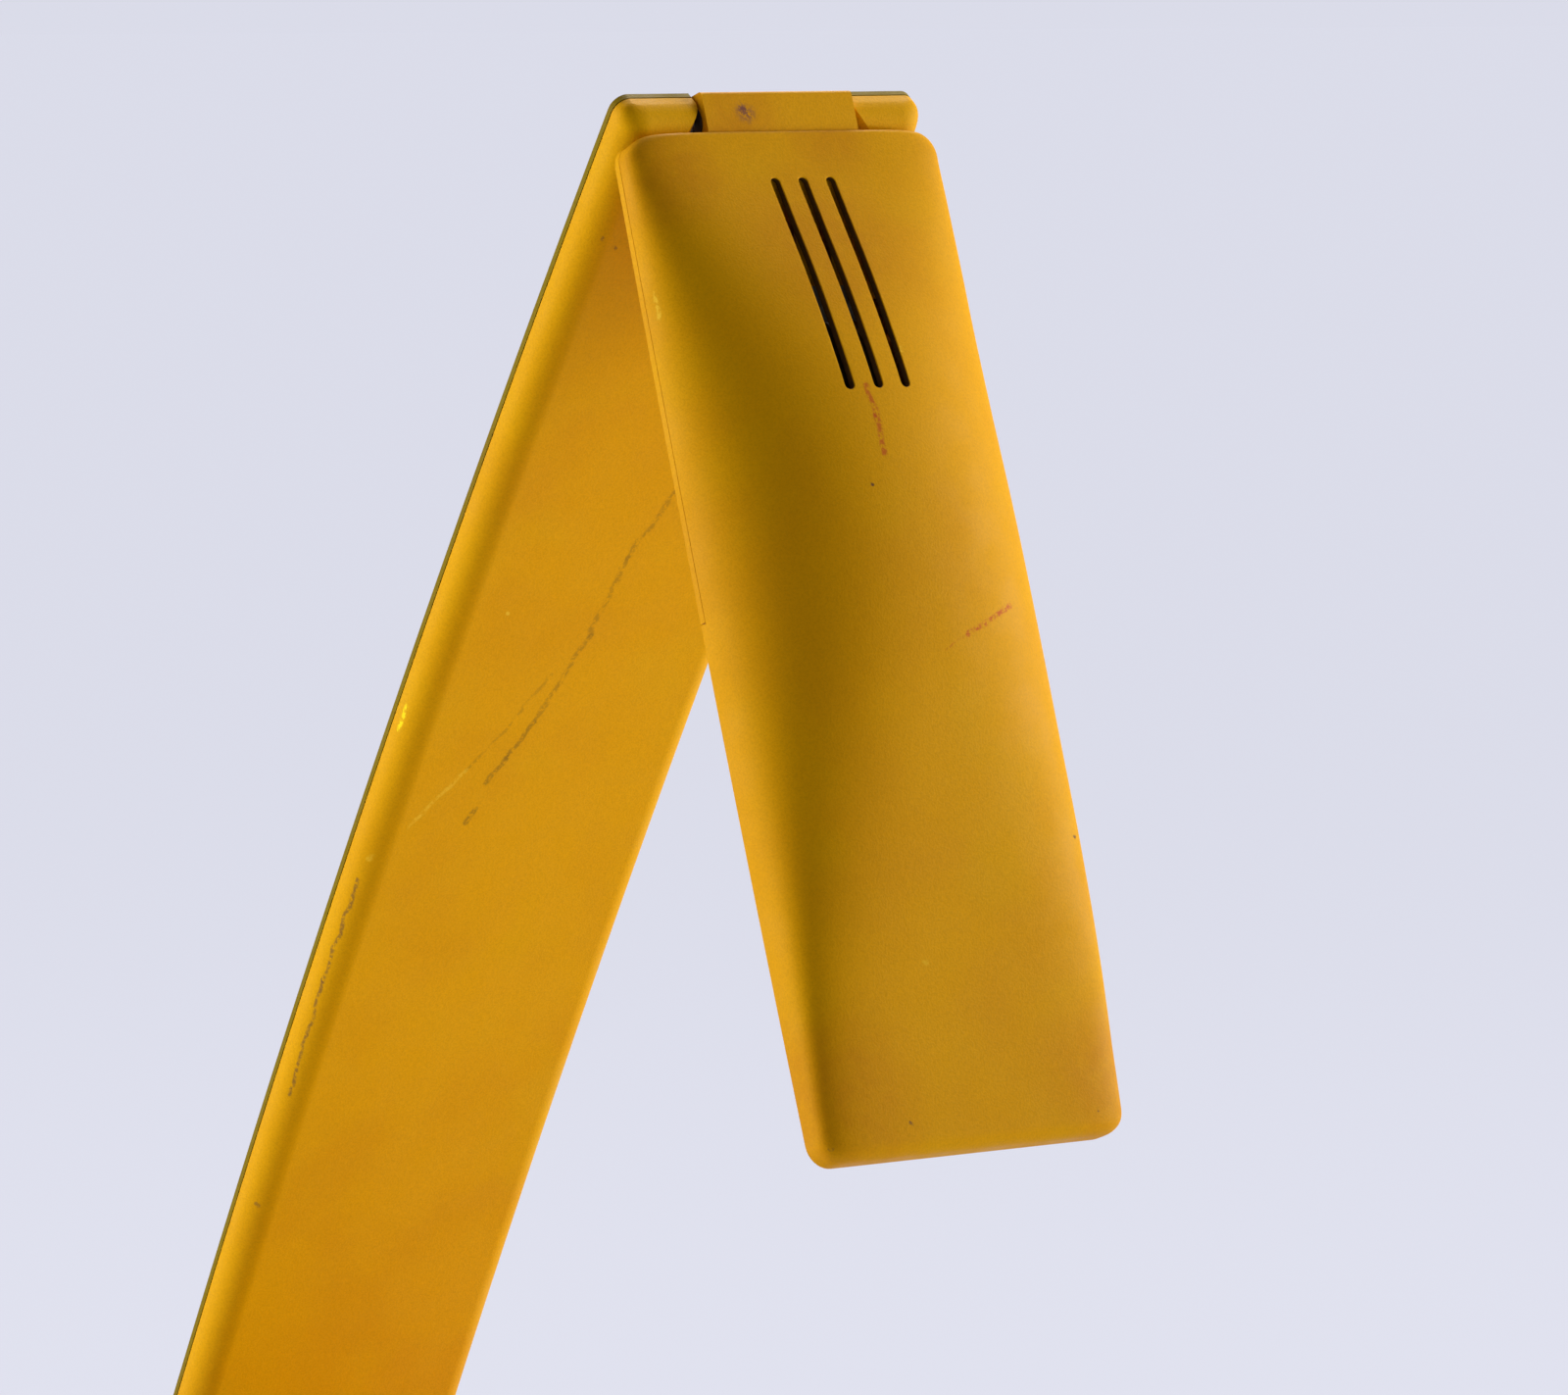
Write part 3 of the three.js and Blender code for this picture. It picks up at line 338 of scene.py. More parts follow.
class Graph:
    """A material's node tree, built one node at a time."""

    def __init__(self, name):
        self.material = bpy.data.materials.new(name)
        self.material.use_nodes = True
        self.tree = self.material.node_tree
        self.tree.nodes.clear()
        self.shader = self.add("BsdfPrincipled")
        output = self.add("OutputMaterial")
        self.tree.links.new(self.shader.outputs[0], output.inputs["Surface"])
        self.place = self.add("TexCoord").outputs["Object"]

    def add(self, kind, settings=None, **inputs):
        node = self.tree.nodes.new(f"ShaderNode{kind}")
        for key, value in (settings or {}).items():
            setattr(node, key, value)
        for key, value in inputs.items():
            self.plug(node.inputs[key.replace("_", " ")], value)
        return node

    def plug(self, socket, value):
        if isinstance(value, bpy.types.NodeSocket):
            self.tree.links.new(value, socket)
        else:
            socket.default_value = value

    def noise(self, size, detail=2.0, roughness=0.5, at=None):
        """Noise whose features are about so many millimetres wide."""
        node = self.add("TexNoise", Vector=at or self.place, Scale=1 / (size * MM),
                        Detail=detail, Roughness=roughness)
        return node.outputs["Fac"]

    def math(self, operation, a, b=0.0, clamp=False):
        node = self.add("Math", {"operation": operation, "use_clamp": clamp})
        self.plug(node.inputs[0], a)
        self.plug(node.inputs[1], b)
        return node.outputs[0]

    def vector(self, operation, a, b=None, scale=None):
        node = self.add("VectorMath", {"operation": operation})
        self.plug(node.inputs[0], a)
        if b is not None:
            self.plug(node.inputs[1], b)
        if scale is not None:
            self.plug(node.inputs["Scale"], scale)
        return node.outputs["Value" if operation in ("LENGTH", "DISTANCE", "DOT_PRODUCT")
                            else "Vector"]

    def ramp(self, value, low, high, to=(0.0, 1.0)):
        """Smooth step of a value between two limits."""
        node = self.add("MapRange", {"interpolation_type": "SMOOTHSTEP"}, Value=value,
                        From_Min=low, From_Max=high, To_Min=to[0], To_Max=to[1])
        return node.outputs[0]

    def mix(self, factor, a, b, blend="MIX"):
        node = self.add("Mix", {"data_type": "RGBA", "blend_type": blend})
        self.plug(node.inputs[0], factor)
        self.plug(node.inputs[6], (*a, 1) if isinstance(a, tuple) else a)
        self.plug(node.inputs[7], (*b, 1) if isinstance(b, tuple) else b)
        return node.outputs[2]

    def bump(self, height, strength, distance, normal=None):
        node = self.add("Bump", Height=height, Strength=strength, Distance=distance * MM)
        if normal is not None:
            self.plug(node.inputs["Normal"], normal)
        return node.outputs[0]

    def set(self, **inputs):
        for key, value in inputs.items():
            self.plug(self.shader.inputs[key.replace("_", " ")], value)
        return self.material

    def mark(self, start, end, width, at):
        """1 on a stroke between two points, in metres, 0 beyond its width in millimetres."""
        along = Vector(end) - Vector(start)
        offset = self.vector("SUBTRACT", at, tuple(start))
        share = self.math("MULTIPLY", self.vector("DOT_PRODUCT", offset, tuple(along)),
                          1 / along.length_squared, clamp=True)
        nearest = self.vector("SCALE", tuple(along), scale=share)
        distance = self.vector("DISTANCE", offset, nearest)
        return self.ramp(distance, width * MM, 0.35 * width * MM)


def marked(graph, color, marks, at, breakup):
    """Lays strokes of (colour, strength, width, start, end) over a colour."""
    for tint, strength, width, start, end in marks:
        mask = graph.mark(start, end, width, at)
        factor = graph.math("MULTIPLY", graph.math("MULTIPLY", mask, breakup), strength)
        color = graph.mix(factor, color, tint)
    return color


YELLOW = (0.70, 0.328, 0.001)
RED_RUB = (0.50, 0.085, 0.012)
BROWN = (0.10, 0.045, 0.03)
BURN = (0.17, 0.06, 0.05)
SMEAR = (0.30, 0.15, 0.008)
CHIP = (0.90, 0.72, 0.01)
PALE = (0.80, 0.50, 0.03)


def plastic(name, marks=(), painted_shade_patches=(), base=YELLOW):
    """Worn, spark-grained ABS. The (centre, radius) patches are darkened towards brown as painted
    shade.
    """
    g = Graph(name)
    # A brown tone, used for the random blotches and for the patches of painted shade.
    brown_tone_and_shade = tuple(c * f for c, f in zip(base, (0.84, 0.72, 3.0)))
    fresh = tuple(c * f for c, f in zip(base, (0.98, 1.13, 1.0)))
    blotch = g.ramp(g.noise(34, 3), 0.42, 0.68)
    color = g.mix(g.math("MULTIPLY", blotch, 0.30), base, brown_tone_and_shade)
    color = g.mix(g.math("MULTIPLY", g.ramp(g.noise(22, 2), 0.5, 0.75), 0.25), color, fresh)
    # Painted shade: each patch darkens the colour towards brown, mottled.
    for centre, radius in painted_shade_patches:
        distance = g.vector("DISTANCE", g.place, centre)
        shade_patch = g.ramp(distance, radius * MM, 0.2 * radius * MM)
        shade_mottle = g.math("MULTIPLY", shade_patch, g.ramp(g.noise(4, 4), 0.3, 0.7, (0.45, 0.8)))
        color = g.mix(shade_mottle, color, brown_tone_and_shade)
    grain = g.noise(0.45, 3, 0.6)
    speck = g.noise(1.5, 2, 0.5)
    color = g.mix(g.ramp(grain, 0.35, 0.72, (0.0, 0.24)), color, tuple(0.48 * c for c in base))
    color = g.mix(g.ramp(speck, 0.5, 0.75, (0.0, 0.10)), color, tuple(1.25 * c for c in base))
    drift = g.add("TexNoise", Vector=g.place, Scale=1 / (5 * MM), Detail=3.0).outputs["Color"]
    wander = g.vector("SCALE", g.vector("SUBTRACT", drift, (0.5, 0.5, 0.5)), scale=2.6 * MM)
    at = g.vector("ADD", g.place, wander)
    color = marked(g, color, marks, at, g.ramp(g.noise(1.1, 3, 0.7), 0.38, 0.56))
    normal = g.bump(grain, 0.45, 0.16)
    normal = g.bump(speck, 0.12, 0.15, normal)
    rough = g.ramp(g.noise(9, 3), 0.3, 0.7, (0.50, 0.62))
    return g.set(Base_Color=color, Roughness=rough, Normal=normal, Specular_IOR_Level=0.09,
                 Specular_Tint=(1.0, 0.7, 0.2, 1))


def metal(name, tint, roughness, scratch=0.06):
    g = Graph(name)
    streak = g.noise(0.5, 3)
    color = g.mix(g.ramp(g.noise(3, 3), 0.3, 0.7), tint, tuple(0.72 * c for c in tint))
    rough = g.ramp(streak, 0.3, 0.7, (roughness - scratch, roughness + scratch))
    return g.set(Base_Color=color, Roughness=rough, Normal=g.bump(streak, 0.15, 0.03),
                 Metallic=1.0)


def dull(name, tint, roughness, size=0.8, relief=0.08, contrast=0.75):
    """Rubber, black plastic or ceramic: a plain colour with a fine texture."""
    g = Graph(name)
    grain = g.noise(size, 3)
    color = g.mix(g.ramp(g.noise(6 * size, 2), 0.3, 0.7), tint,
                  tuple(contrast * c for c in tint))
    rough = g.ramp(grain, 0.3, 0.7, (roughness - 0.06, roughness + 0.06))
    return g.set(Base_Color=color, Roughness=rough, Normal=g.bump(grain, 0.4, relief))


def glass(name, tint, roughness):
    g = Graph(name)
    dust = g.ramp(g.noise(7, 4), 0.4, 0.8, (roughness, roughness + 0.1))
    return g.set(Base_Color=(*tint, 1), Roughness=dust, IOR=1.5, Transmission_Weight=1.0)


def head_place(x, h, n):
    """A point of the head in the row frame, in metres."""
    return tuple(HEAD @ (Vector(head_point(x, h, n)) * MM))


def on_dome(x, h):
    """A point of the dome's outside in the row frame, in metres."""
    return head_place(x, h, dome_height(x, h))


def arm_place(x, s):
    """A point of the arm's front face in the row frame, in metres."""
    fall = ARM_ROUND - math.sqrt(ARM_ROUND ** 2 - max(0, abs(x) - ARM_WIDTH / 2 + ARM_ROUND) ** 2)
    return tuple(ARM @ (Vector(arm_point(x, s, ARM_THICKNESS - fall)) * MM))


def strokes(lines, where):
    """Splits lines of (colour, strength, width, points) into single strokes."""
    return [(tint, strength, width, where(*start), where(*end))
            for tint, strength, width, points in lines
            for start, end in zip(points, points[1:])]


def dots(tint, strength, width, points):
    """Short strokes, one at each point."""
    return [(tint, strength, width, [(x, s), (x + 0.4, s + 0.3)]) for x, s in points]


HEAD_LINES = [
    (RED_RUB, 0.8, 0.9, [(-3, 62.4), (-3, 69), (-3.4, 77)]),
    (RED_RUB, 0.9, 0.75, [(9, 115.6), (14.3, 113.2), (23, 109.8)]),
    (RED_RUB, 0.5, 0.5, [(2.5, 118.6), (9, 115.6)]),
    (PALE, 0.8, 0.8, [(-38.4, 36.6), (-38.4, 42)]),
    (BROWN, 0.5, 0.7, [(-31, 217.5), (-22, 217.5), (-13, 217.5)]),
    (PALE, 0.9, 0.8, [(28.4, 217.2), (32.6, 216.7)]),
    (PALE, 0.7, 0.5, [(8.3, 54), (8.3, 55)]),
    *dots(BROWN, 0.9, 0.55, [(-17.5, 211.3), (29, 212.9), (33, 156.8), (-36, 214.8),
                             (-8, 83.4)]),
    *dots(PALE, 0.5, 0.8, [(-9.5, 179.8)]),
]
ARM_LINES = [
    (SMEAR, 0.55, 1.0, [(8.7, 97.3), (2.6, 115.3), (-0.2, 136.3), (-6.6, 158.5)]),
    (SMEAR, 0.75, 1.1, [(-6.6, 158.5), (-10.5, 168), (-13.5, 175.5)]),
    (SMEAR, 0.8, 1.1, [(-14.2, 182), (-15.1, 186.1)]),
    (SMEAR, 0.4, 0.7, [(-6.8, 146.5), (-12.6, 159.4), (-20, 171)]),
    (PALE, 0.6, 0.8, [(-20, 171), (-27.6, 182.4), (-36, 196)]),
    (BROWN, 0.6, 0.7, [(-36.3, 201.7), (-36.6, 230), (-36.3, 261.8)]),
    (CHIP, 1.0, 0.9, [(-37.4, 156), (-37.4, 162)]),
    *dots(BROWN, 0.5, 0.7, [(-33.8, 30.4), (-30, 32.3), (-36, 292.7)]),
    *dots(PALE, 0.9, 0.6, [(-24.2, 128.2)]),
]
HEAD_MARKS = strokes(HEAD_LINES, on_dome)
ARM_MARKS = strokes(ARM_LINES, arm_place)
TAB_MARKS = [(BURN, 0.9, 1.6, head_place(-9.0, -1.3, 5.4), head_place(-8.4, -0.9, 5.4)),
             (BURN, 0.45, 2.6, head_place(-9.4, -1.3, 5.4), head_place(-7.8, -0.6, 5.4))]
# The patches on the head shell and frame are painted shade at the dome's corners and ends and by
# the hinge tab.
SHELL_PLASTIC = plastic("abs_head_shell", HEAD_MARKS, painted_shade_patches=[
    (head_place(0, 30, 14), 26), (head_place(-33, 205, 5), 26), (head_place(34, 205, 5), 22),
    (head_place(-32, 12, 7), 18), (head_place(10, 4, 7), 14)])
FRAME_PLASTIC = plastic("abs_head_frame", TAB_MARKS, painted_shade_patches=[(head_place(-12, 0, 5), 16)])
ARM_PLASTIC = plastic("abs_arm", ARM_MARKS, base=(0.72, 0.352, 0.001))
BACK_PLASTIC = plastic("abs_arm_back", base=(0.22, 0.15, 0.002))
# Painted shade: a dark material for the slot walls and for the shell's inside under the slots.
SLOT_PAINTED_SHADE = dull("slot_painted_shade", (0.10, 0.045, 0.004), 0.6)
BASE_PLASTIC = plastic("abs_base")
STEEL = metal("zinc_steel", (0.62, 0.63, 0.64), 0.35)
DARK_STEEL = metal("black_oxide", (0.10, 0.10, 0.105), 0.48)
BRIGHT = metal("polished_aluminium", (0.86, 0.87, 0.88), 0.14, 0.04)
COPPER = metal("enamelled_copper", (0.55, 0.22, 0.10), 0.34)
RUBBER = dull("foot_rubber", (0.022, 0.022, 0.022), 0.85, 1.2, 0.2)
BLACK = dull("black_plastic", (0.020, 0.020, 0.021), 0.42, 0.5, 0.04)
CERAMIC = dull("ceramic", (0.78, 0.75, 0.66), 0.6, 0.6, 0.05, 0.9)
HEATED_CERAMIC = dull("heated_ceramic", (0.22, 0.20, 0.17), 0.7, 0.6, 0.05, 0.7)
CAST_IRON = dull("cast_iron", (0.06, 0.06, 0.06), 0.7, 2.0, 0.3)
CLEAR_GLASS = glass("clear_glass", (0.95, 0.98, 0.98), 0.02)

# ---------- head ----------


def evenly(points, count):
    """The same open line, with its points evenly spaced."""
    points = np.array(points)
    steps = np.linalg.norm(np.diff(points, axis=0), axis=1)
    run = np.concatenate([[0], np.cumsum(steps)])
    places = np.linspace(0, run[-1], count)
    return np.stack([np.interp(places, run, points[:, i]) for i in range(3)], axis=1).tolist()


def arch(h, side_inset, top_inset, count):
    """One arch of the dome, from rim to rim."""
    half = head_half_width(h) - side_inset
    height = smooth_table(DOME_HEIGHT, h) - top_inset
    power = 2 / smooth_table(DOME_SQUARENESS, h)
    points = []
    for angle in np.linspace(0, math.pi, 361):
        x = half * math.copysign(abs(math.cos(angle)) ** power, math.cos(angle))
        points.append(head_point(x, h, HEAD_RIM + height * abs(math.sin(angle)) ** power))
    return evenly(points, count)


def head_outer(name, rings_apart, count):
    """The head's outer form as a closed body with a flat rim."""
    start = [0, 0.06, 0.2, 0.45, 0.8, 1.2, 1.8, 2.5, 3.3, 4.2, 5.0, 5.6]
    end = [8, 6.5, 5, 4, 3.2, 2.4, 1.7, 1.1, 0.65, 0.3, 0.08, 0]
    middle = np.arange(9, HEAD_END - 10, rings_apart).tolist()
    stations = [HEAD_START + d for d in start] + middle + [HEAD_END - d for d in end]
    rings = []
    for h in stations:
        side = round_off(h - HEAD_START, HEAD_CORNER_START)
        side += round_off(HEAD_END - h, HEAD_CORNER_END)
        top = 0.8 * round_off(h - HEAD_START, 1) + round_off(HEAD_END - h, 3)
        rings.append(arch(h, side, top, count))
    return loft(name, rings, HEAD)


def head_inner(name, side_inset, top_inset, end_wall):
    """The space inside the shell, open at the rim and at the hinge end."""
    stations = [-4, HEAD_START, 5, *np.arange(10, 208, 6).tolist()]
    stations += [HEAD_END - end_wall - d for d in (5, 3.5, 2.2, 1.2, 0.4, 0)]
    rings = []
    for h in stations:
        from_end = HEAD_END - end_wall + 1.2 - h
        side = side_inset + round_off(from_end, HEAD_CORNER_END)
        start = min(1, max(0, (h - HEAD_START) / 17))
        top = top_inset - 0.6 * (1 - start) + round_off(from_end, 3)
        line = arch(h, side, top, 48)
        below = [(x, y + 6, z) for x, y, z in (line[0], line[-1])]
        rings.append([below[0], *line, below[1]])
    return loft(name, rings, HEAD)


def stadium(x, span, half, steps=18):
    """Loop round a slot of a half-width, as (x, h) points."""
    low, high = span[0] + SLOT_HALF, span[1] - SLOT_HALF
    side = np.linspace(low, high, steps).tolist()
    right = [(x + half, h) for h in side]
    left = [(x - half, h) for h in reversed(side)]
    bottom = [(x + half * math.cos(a), high + half * math.sin(a))
              for a in np.linspace(0, math.pi, 14)[1:-1]]
    top = [(x + half * math.cos(a), low + half * math.sin(a))
           for a in np.linspace(math.pi, 2 * math.pi, 14)[1:-1]]
    return right + bottom + left + top


def slot_cutter(x):
    """Cuts a slot with a rounded lip that follows the dome."""
    profile = [(0, SLOT_LIP)]
    profile += [(SLOT_LIP * (1 - math.cos(a)), SLOT_LIP * (1 - math.sin(a)))
                for a in np.radians([15, 30, 45, 60])]
    profile.append((2.2 * SLOT_LIP, -0.87 * SLOT_LIP))
    rings = [[head_point(px, h, 3) for px, h in stadium(x, SLOT_SPAN, SLOT_HALF)]]
    rings += [[head_point(px, h, dome_height(px, h) - depth)
               for px, h in stadium(x, SLOT_SPAN, SLOT_HALF + offset)]
              for offset, depth in profile]
    widest = stadium(x, SLOT_SPAN, SLOT_HALF + profile[-1][0])
    rings.append([head_point(px, h, 40) for px, h in widest])
    return loft("slot_cutter", rings, HEAD)


def head_post(x, h, low):
    radius = 2.6
    top = dome_height(abs(x) + radius, h) - DOME_WALL / 2
    return bar("post", "Y", radius, (-top, -low), (x, -h), HEAD)


def paint_slot_shade(shell):
    """Gives the walls of the slots, and the shell's inside under them, a darker material that
    paints the shade in the slots.
    """
    shell.data.materials.append(SLOT_PAINTED_SHADE)
    to_head = HEAD.inverted()
    for face in shell.data.polygons:
        x, y, z = to_head @ face.center / MM
        near = abs(x) < SLOT_PITCH + 2 and SLOT_SPAN[0] - 1 < -z < SLOT_SPAN[1] + 1
        if near and -y < dome_height(x, -z) - 0.35:
            face.material_index = 1


def head_shell():
    shell = head_outer("head_shell_look", 2.4, 110)
    cut(shell, head_inner("inner", SIDE_WALL, DOME_WALL, END_WALL))
    posts = [head_post(x, h, ramp_low(h) + RAMP_THICKNESS + GAP) for x, h in FRAME_SCREWS]
    posts += [head_post(x, h, 2.2) for x, h in COVER_SCREWS]
    join(shell, *posts)
    cut(shell,
        head_block("seam", (-60, 60), (-9, FRAME_END + GAP), (-9, SEAM_TOP)),
        *[slot_cutter(i * SLOT_PITCH) for i in (-1, 0, 1)])
    finish_piece(shell, SHELL_PLASTIC, "head_shell", angle=38)
    # Painted shade in the slots.
    paint_slot_shade(shell)
    return shell


def tongue():
    """The flat tab between the arm's knuckles, rounded about the pin."""
    front = TONGUE_ROUND
    corner = [(-5.6, 0), (-5.6, front - 1.0)]
    corner += [(h, n) for h, n in arc((-4.6, front - 1.0), 1.0, 180, 90, 6)][1:]
    profile = [*corner, (2.7, front), (3.4, front - 0.4), (17, front - 0.4), (17, 4.6),
               (8.5, 4.6), (5.4, 2.4), *arc((0, 0), TONGUE_ROUND, 0, -150, 24)]
    return across("tongue", [(-n, -h) for h, n in profile], TONGUE_WIDTH, HEAD)


def ramp_floor():
    """Sloping floor round the lamp window."""
    outline = [(-26, 14), (26, 14), (34.5, 30), (36, 50), (36, RAMP_END + 1),
               (-36, RAMP_END + 1), (-36, 50), (-34.5, 30)]
    cosine = math.cos(math.atan(RAMP_SLOPE))
    rings = [[head_point(x, RAMP_END + (h - RAMP_END) * cosine,
                         HEAD_RIM + (RAMP_END - h) * RAMP_SLOPE * cosine + rise)
              for x, h in outline] for rise in (0, RAMP_THICKNESS)]
    return loft("ramp_floor", rings, HEAD)


def head_frame():
    rim = head_outer("head_frame_look", 6, 110)
    boolean(rim, "INTERSECT", head_block("band", (-60, 60), (5, FRAME_END), (-3, FRAME_TOP)))
    clear = head_half_width(FRAME_END / 2) - SIDE_WALL - 0.4
    cut(rim, head_block("clear", (-clear, clear), (-9, 98), (-9, 9)))
    join(rim, ramp_floor(), tongue())
    window = (WINDOW_CENTRE - WINDOW_LENGTH / 2, WINDOW_CENTRE + WINDOW_LENGTH / 2)
    cut(rim, head_block("window", (-WINDOW_WIDTH / 2, WINDOW_WIDTH / 2), window, (-9, 12)),
        bar("bore", "X", TOP_PIN_RADIUS + 0.1, (-30, 30), (0, 0), HEAD),
        *[bar("hole", "Y", 1.5, (-12, 5), (x, -h), HEAD) for x, h in FRAME_SCREWS])
    soften(rim, 0.22, 2, 40)
    return finish_piece(rim, FRAME_PLASTIC, "head_frame")


# ---------- arm ----------


def slab_stations():
    ends = [0.02, 0.12, 0.35, 0.7, 1.2, 1.8, 2.6, 3.5, 4.6, 5.9]
    middle = np.linspace(12, ARM_LENGTH - 12, 48).tolist()
    return ends + middle + [ARM_LENGTH - d for d in reversed(ends)]


def arm_slab(name, low, high, radius):
    """Bowed slab with rounded corners and rounded front shoulders."""
    half, side = ARM_WIDTH / 2, high - radius
    rings = []
    for s in slab_stations():
        from_end = min(s, ARM_LENGTH - s)
        wide = radius - round_off(from_end, ARM_CORNER)
        tall = radius - round_off(from_end, radius)
        shoulder = [(half - radius + wide * x, side + tall * m)
                    for x, m in arc((0, 0), 1, 0, 90, 12)]
        edge = half - radius + wide
        outline = [(edge, low), *shoulder, *[(-x, m) for x, m in reversed(shoulder)],
                   (-edge, low)]
        rings.append([arm_point(x, s, m) for x, m in outline])
    return loft(name, rings, ARM)


def arm_notch(s):
    """Room for a hinge tongue, its front edges rounded over."""
    half = NOTCH_WIDTH / 2
    side = ARM_THICKNESS - ARM_ROUND
    curve = arc((half + ARM_ROUND, side), ARM_ROUND, 180, 90, 14)
    right = [(half, -4), *curve, (half + ARM_ROUND, ARM_THICKNESS + 4)]
    outline = right + [(-x, m) for x, m in reversed(right)]
    span = (-NOTCH_DEPTH, 6) if s == 0 else (-6, NOTCH_DEPTH)
    rings = [[(x, -m, z) for x, m in outline] for z in span]
    return loft("notch", rings, on_arm(s))


def pin_seat(s, radius):
    reach = PIN_LENGTH / 2 + GAP
    seat = bar("seat", "X", radius + 0.1, (-reach, reach), (-PIN_DEPTH, 0), on_arm(s))
    slot = block("slot", (-reach, reach), (-PIN_DEPTH, 0.5), (-radius - 0.1, radius + 0.1),
                 on_arm(s))
    return join(seat, slot)


ARM_PINS = [(ARM_END, TOP_PIN_RADIUS), (ARM_LENGTH - ARM_END, LOW_PIN_RADIUS)]


def arm_front():
    low = BACK_PLATE + GAP
    cover = arm_slab("arm_front_look", low, ARM_THICKNESS, ARM_ROUND)
    half, top = ARM_WIDTH / 2 - ARM_WALL - 1, ARM_THICKNESS - ARM_WALL
    hollow = [(half, 0), (half, 4.5), (half - 3, top), (3 - half, top), (-half, 4.5), (-half, 0)]
    stations = np.linspace(18, ARM_LENGTH - 18, 40)
    cut(cover, loft("hollow", [[arm_point(x, s, m) for x, m in hollow] for s in stations], ARM))
    join(cover, *[bar("post", "Y", 3.4, (-8, -low), (x, 0), on_arm(s)) for x, s in ARM_SCREWS])
    cut(cover, arm_notch(0), arm_notch(ARM_LENGTH),
        *[pin_seat(s, radius) for s, radius in ARM_PINS],
        *[bar("pilot", "Y", 1.3, (-7, 2), (x, 0), on_arm(s)) for x, s in ARM_SCREWS])
    soften(cover, 0.18, 2, 40)
    return finish_piece(cover, ARM_PLASTIC, "arm_front_cover")


def arm_back():
    half = ARM_WIDTH / 2
    rings = []
    for s in slab_stations():
        x = half - round_off(min(s, ARM_LENGTH - s), ARM_CORNER)
        outline = [(x, 0), (x, BACK_PLATE), (-x, BACK_PLATE), (-x, 0)]
        rings.append([arm_point(across_arm, s, m) for across_arm, m in outline])
    plate = loft("arm_back_look", rings, ARM)
    cut(plate, arm_notch(0), arm_notch(ARM_LENGTH),
        *[bar("hole", "Y", 1.9, (-4, 2), (x, 0), on_arm(s)) for x, s in ARM_SCREWS])
    soften(plate, 0.25, 3, 40)
    return finish_piece(plate, BACK_PLASTIC, "arm_back_plate")


# ---------- base ----------


def rounded_rectangle(width, length, radius, steps=8):
    x, y = width / 2 - radius, length / 2 - radius
    corners = [((x, y), 0), ((-x, y), 90), ((-x, -y), 180), ((x, -y), 270)]
    return [p for centre, start in corners for p in arc(centre, radius, start, start + 90, steps)]


def pillow(name, width, length, corner, shoulder, low, high):
    """Plate with a rounded upper edge."""
    rings = []
    for inset, z in [(0, low), *[(shoulder * (1 - math.cos(a)), high - shoulder * (1 - math.sin(a)))
                                 for a in np.radians(np.linspace(0, 90, 10))]]:
        outline = rounded_rectangle(width - 2 * inset, length - 2 * inset, corner - inset)
        rings.append([(x, y, z) for x, y in outline])
    return loft(name, rings, HERE)


def base_cover():
    cover = pillow("base_cover_look", BASE_WIDTH, BASE_LENGTH, BASE_CORNER, BASE_SHOULDER,
                   PLATE_BOTTOM, BASE_TOP)
    hinge = tilted((0, HINGE_Y, HINGE_HEIGHT), 0)
    foot = BASE_TOP - HINGE_HEIGHT - BASE_SHOULDER
    profile = [*arc((0, 0), TONGUE_ROUND, 0, 180, 24), (-TONGUE_ROUND, -6), (-15, foot),
               (15, foot), (TONGUE_ROUND, -6)]
    join(cover, across("tower", profile, TONGUE_WIDTH, hinge))
    cut(cover, bar("bore", "X", LOW_PIN_RADIUS + 0.1, (-30, 30), (0, 0), hinge))
    half, length = SWITCH["width"] / 2 + GAP, SWITCH["length"] / 2 + GAP
    cut(cover, block("switch_hole", (SWITCH["x"] - half, SWITCH["x"] + half),
                     (SWITCH["y"] - length, SWITCH["y"] + length), (20, 40), HERE))
    soften(cover, 0.5, 3, 40)
    cut(cover, pillow("hollow", BASE_WIDTH - 2 * BASE_WALL, BASE_LENGTH - 2 * BASE_WALL,
                      BASE_CORNER - BASE_WALL, BASE_SHOULDER - 2, PLATE_BOTTOM - 1,
                      BASE_TOP - BASE_WALL))
    hollow = [(-3, -9), (-11.5, -22), (-11.5, -30), (11.5, -30), (11.5, -22), (3, -9)]
    cut(cover, across("tower_hollow", hollow, TONGUE_WIDTH - 5, hinge))
    rear = BASE_LENGTH / 2
    join(cover, *[bar("post", "Z", 4.5, (5.3, BASE_TOP - 1), (x, y), HERE)
                  for x, y in BASE_SCREWS])
    cut(cover, bar("inlet", "Y", GLAND_RADIUS + GAP, (rear - 10, rear + 5), (0, GLAND_HEIGHT),
                   HERE),
        *[bar("pilot", "Z", 1.9, (0, 20), (x, y), HERE) for x, y in BASE_SCREWS])
    return finish_piece(cover, BASE_PLASTIC, "base_cover")


def gland():
    profile = [(3, -7), (5.5, -7), (5.8, -6.7), (5.8, -2.8), (4.5, -2.8), (4.5, 0.3), (6.2, 0.3),
               (6.5, 0.6), (6.5, 1.6), (6.3, 2.1), (5.2, 2.9), (4.4, 3), (3.3, 3), (3, 2.7)]
    angles = [2 * math.pi * i / 48 for i in range(48)]
    rings = [[(r * math.cos(a), BASE_LENGTH / 2 + y, GLAND_HEIGHT + r * math.sin(a))
              for a in angles] for r, y in profile]
    return finish_piece(ring_loft("cord_gland_look", rings, HERE), BLACK, "cord_gland")


# ---------- screws ----------


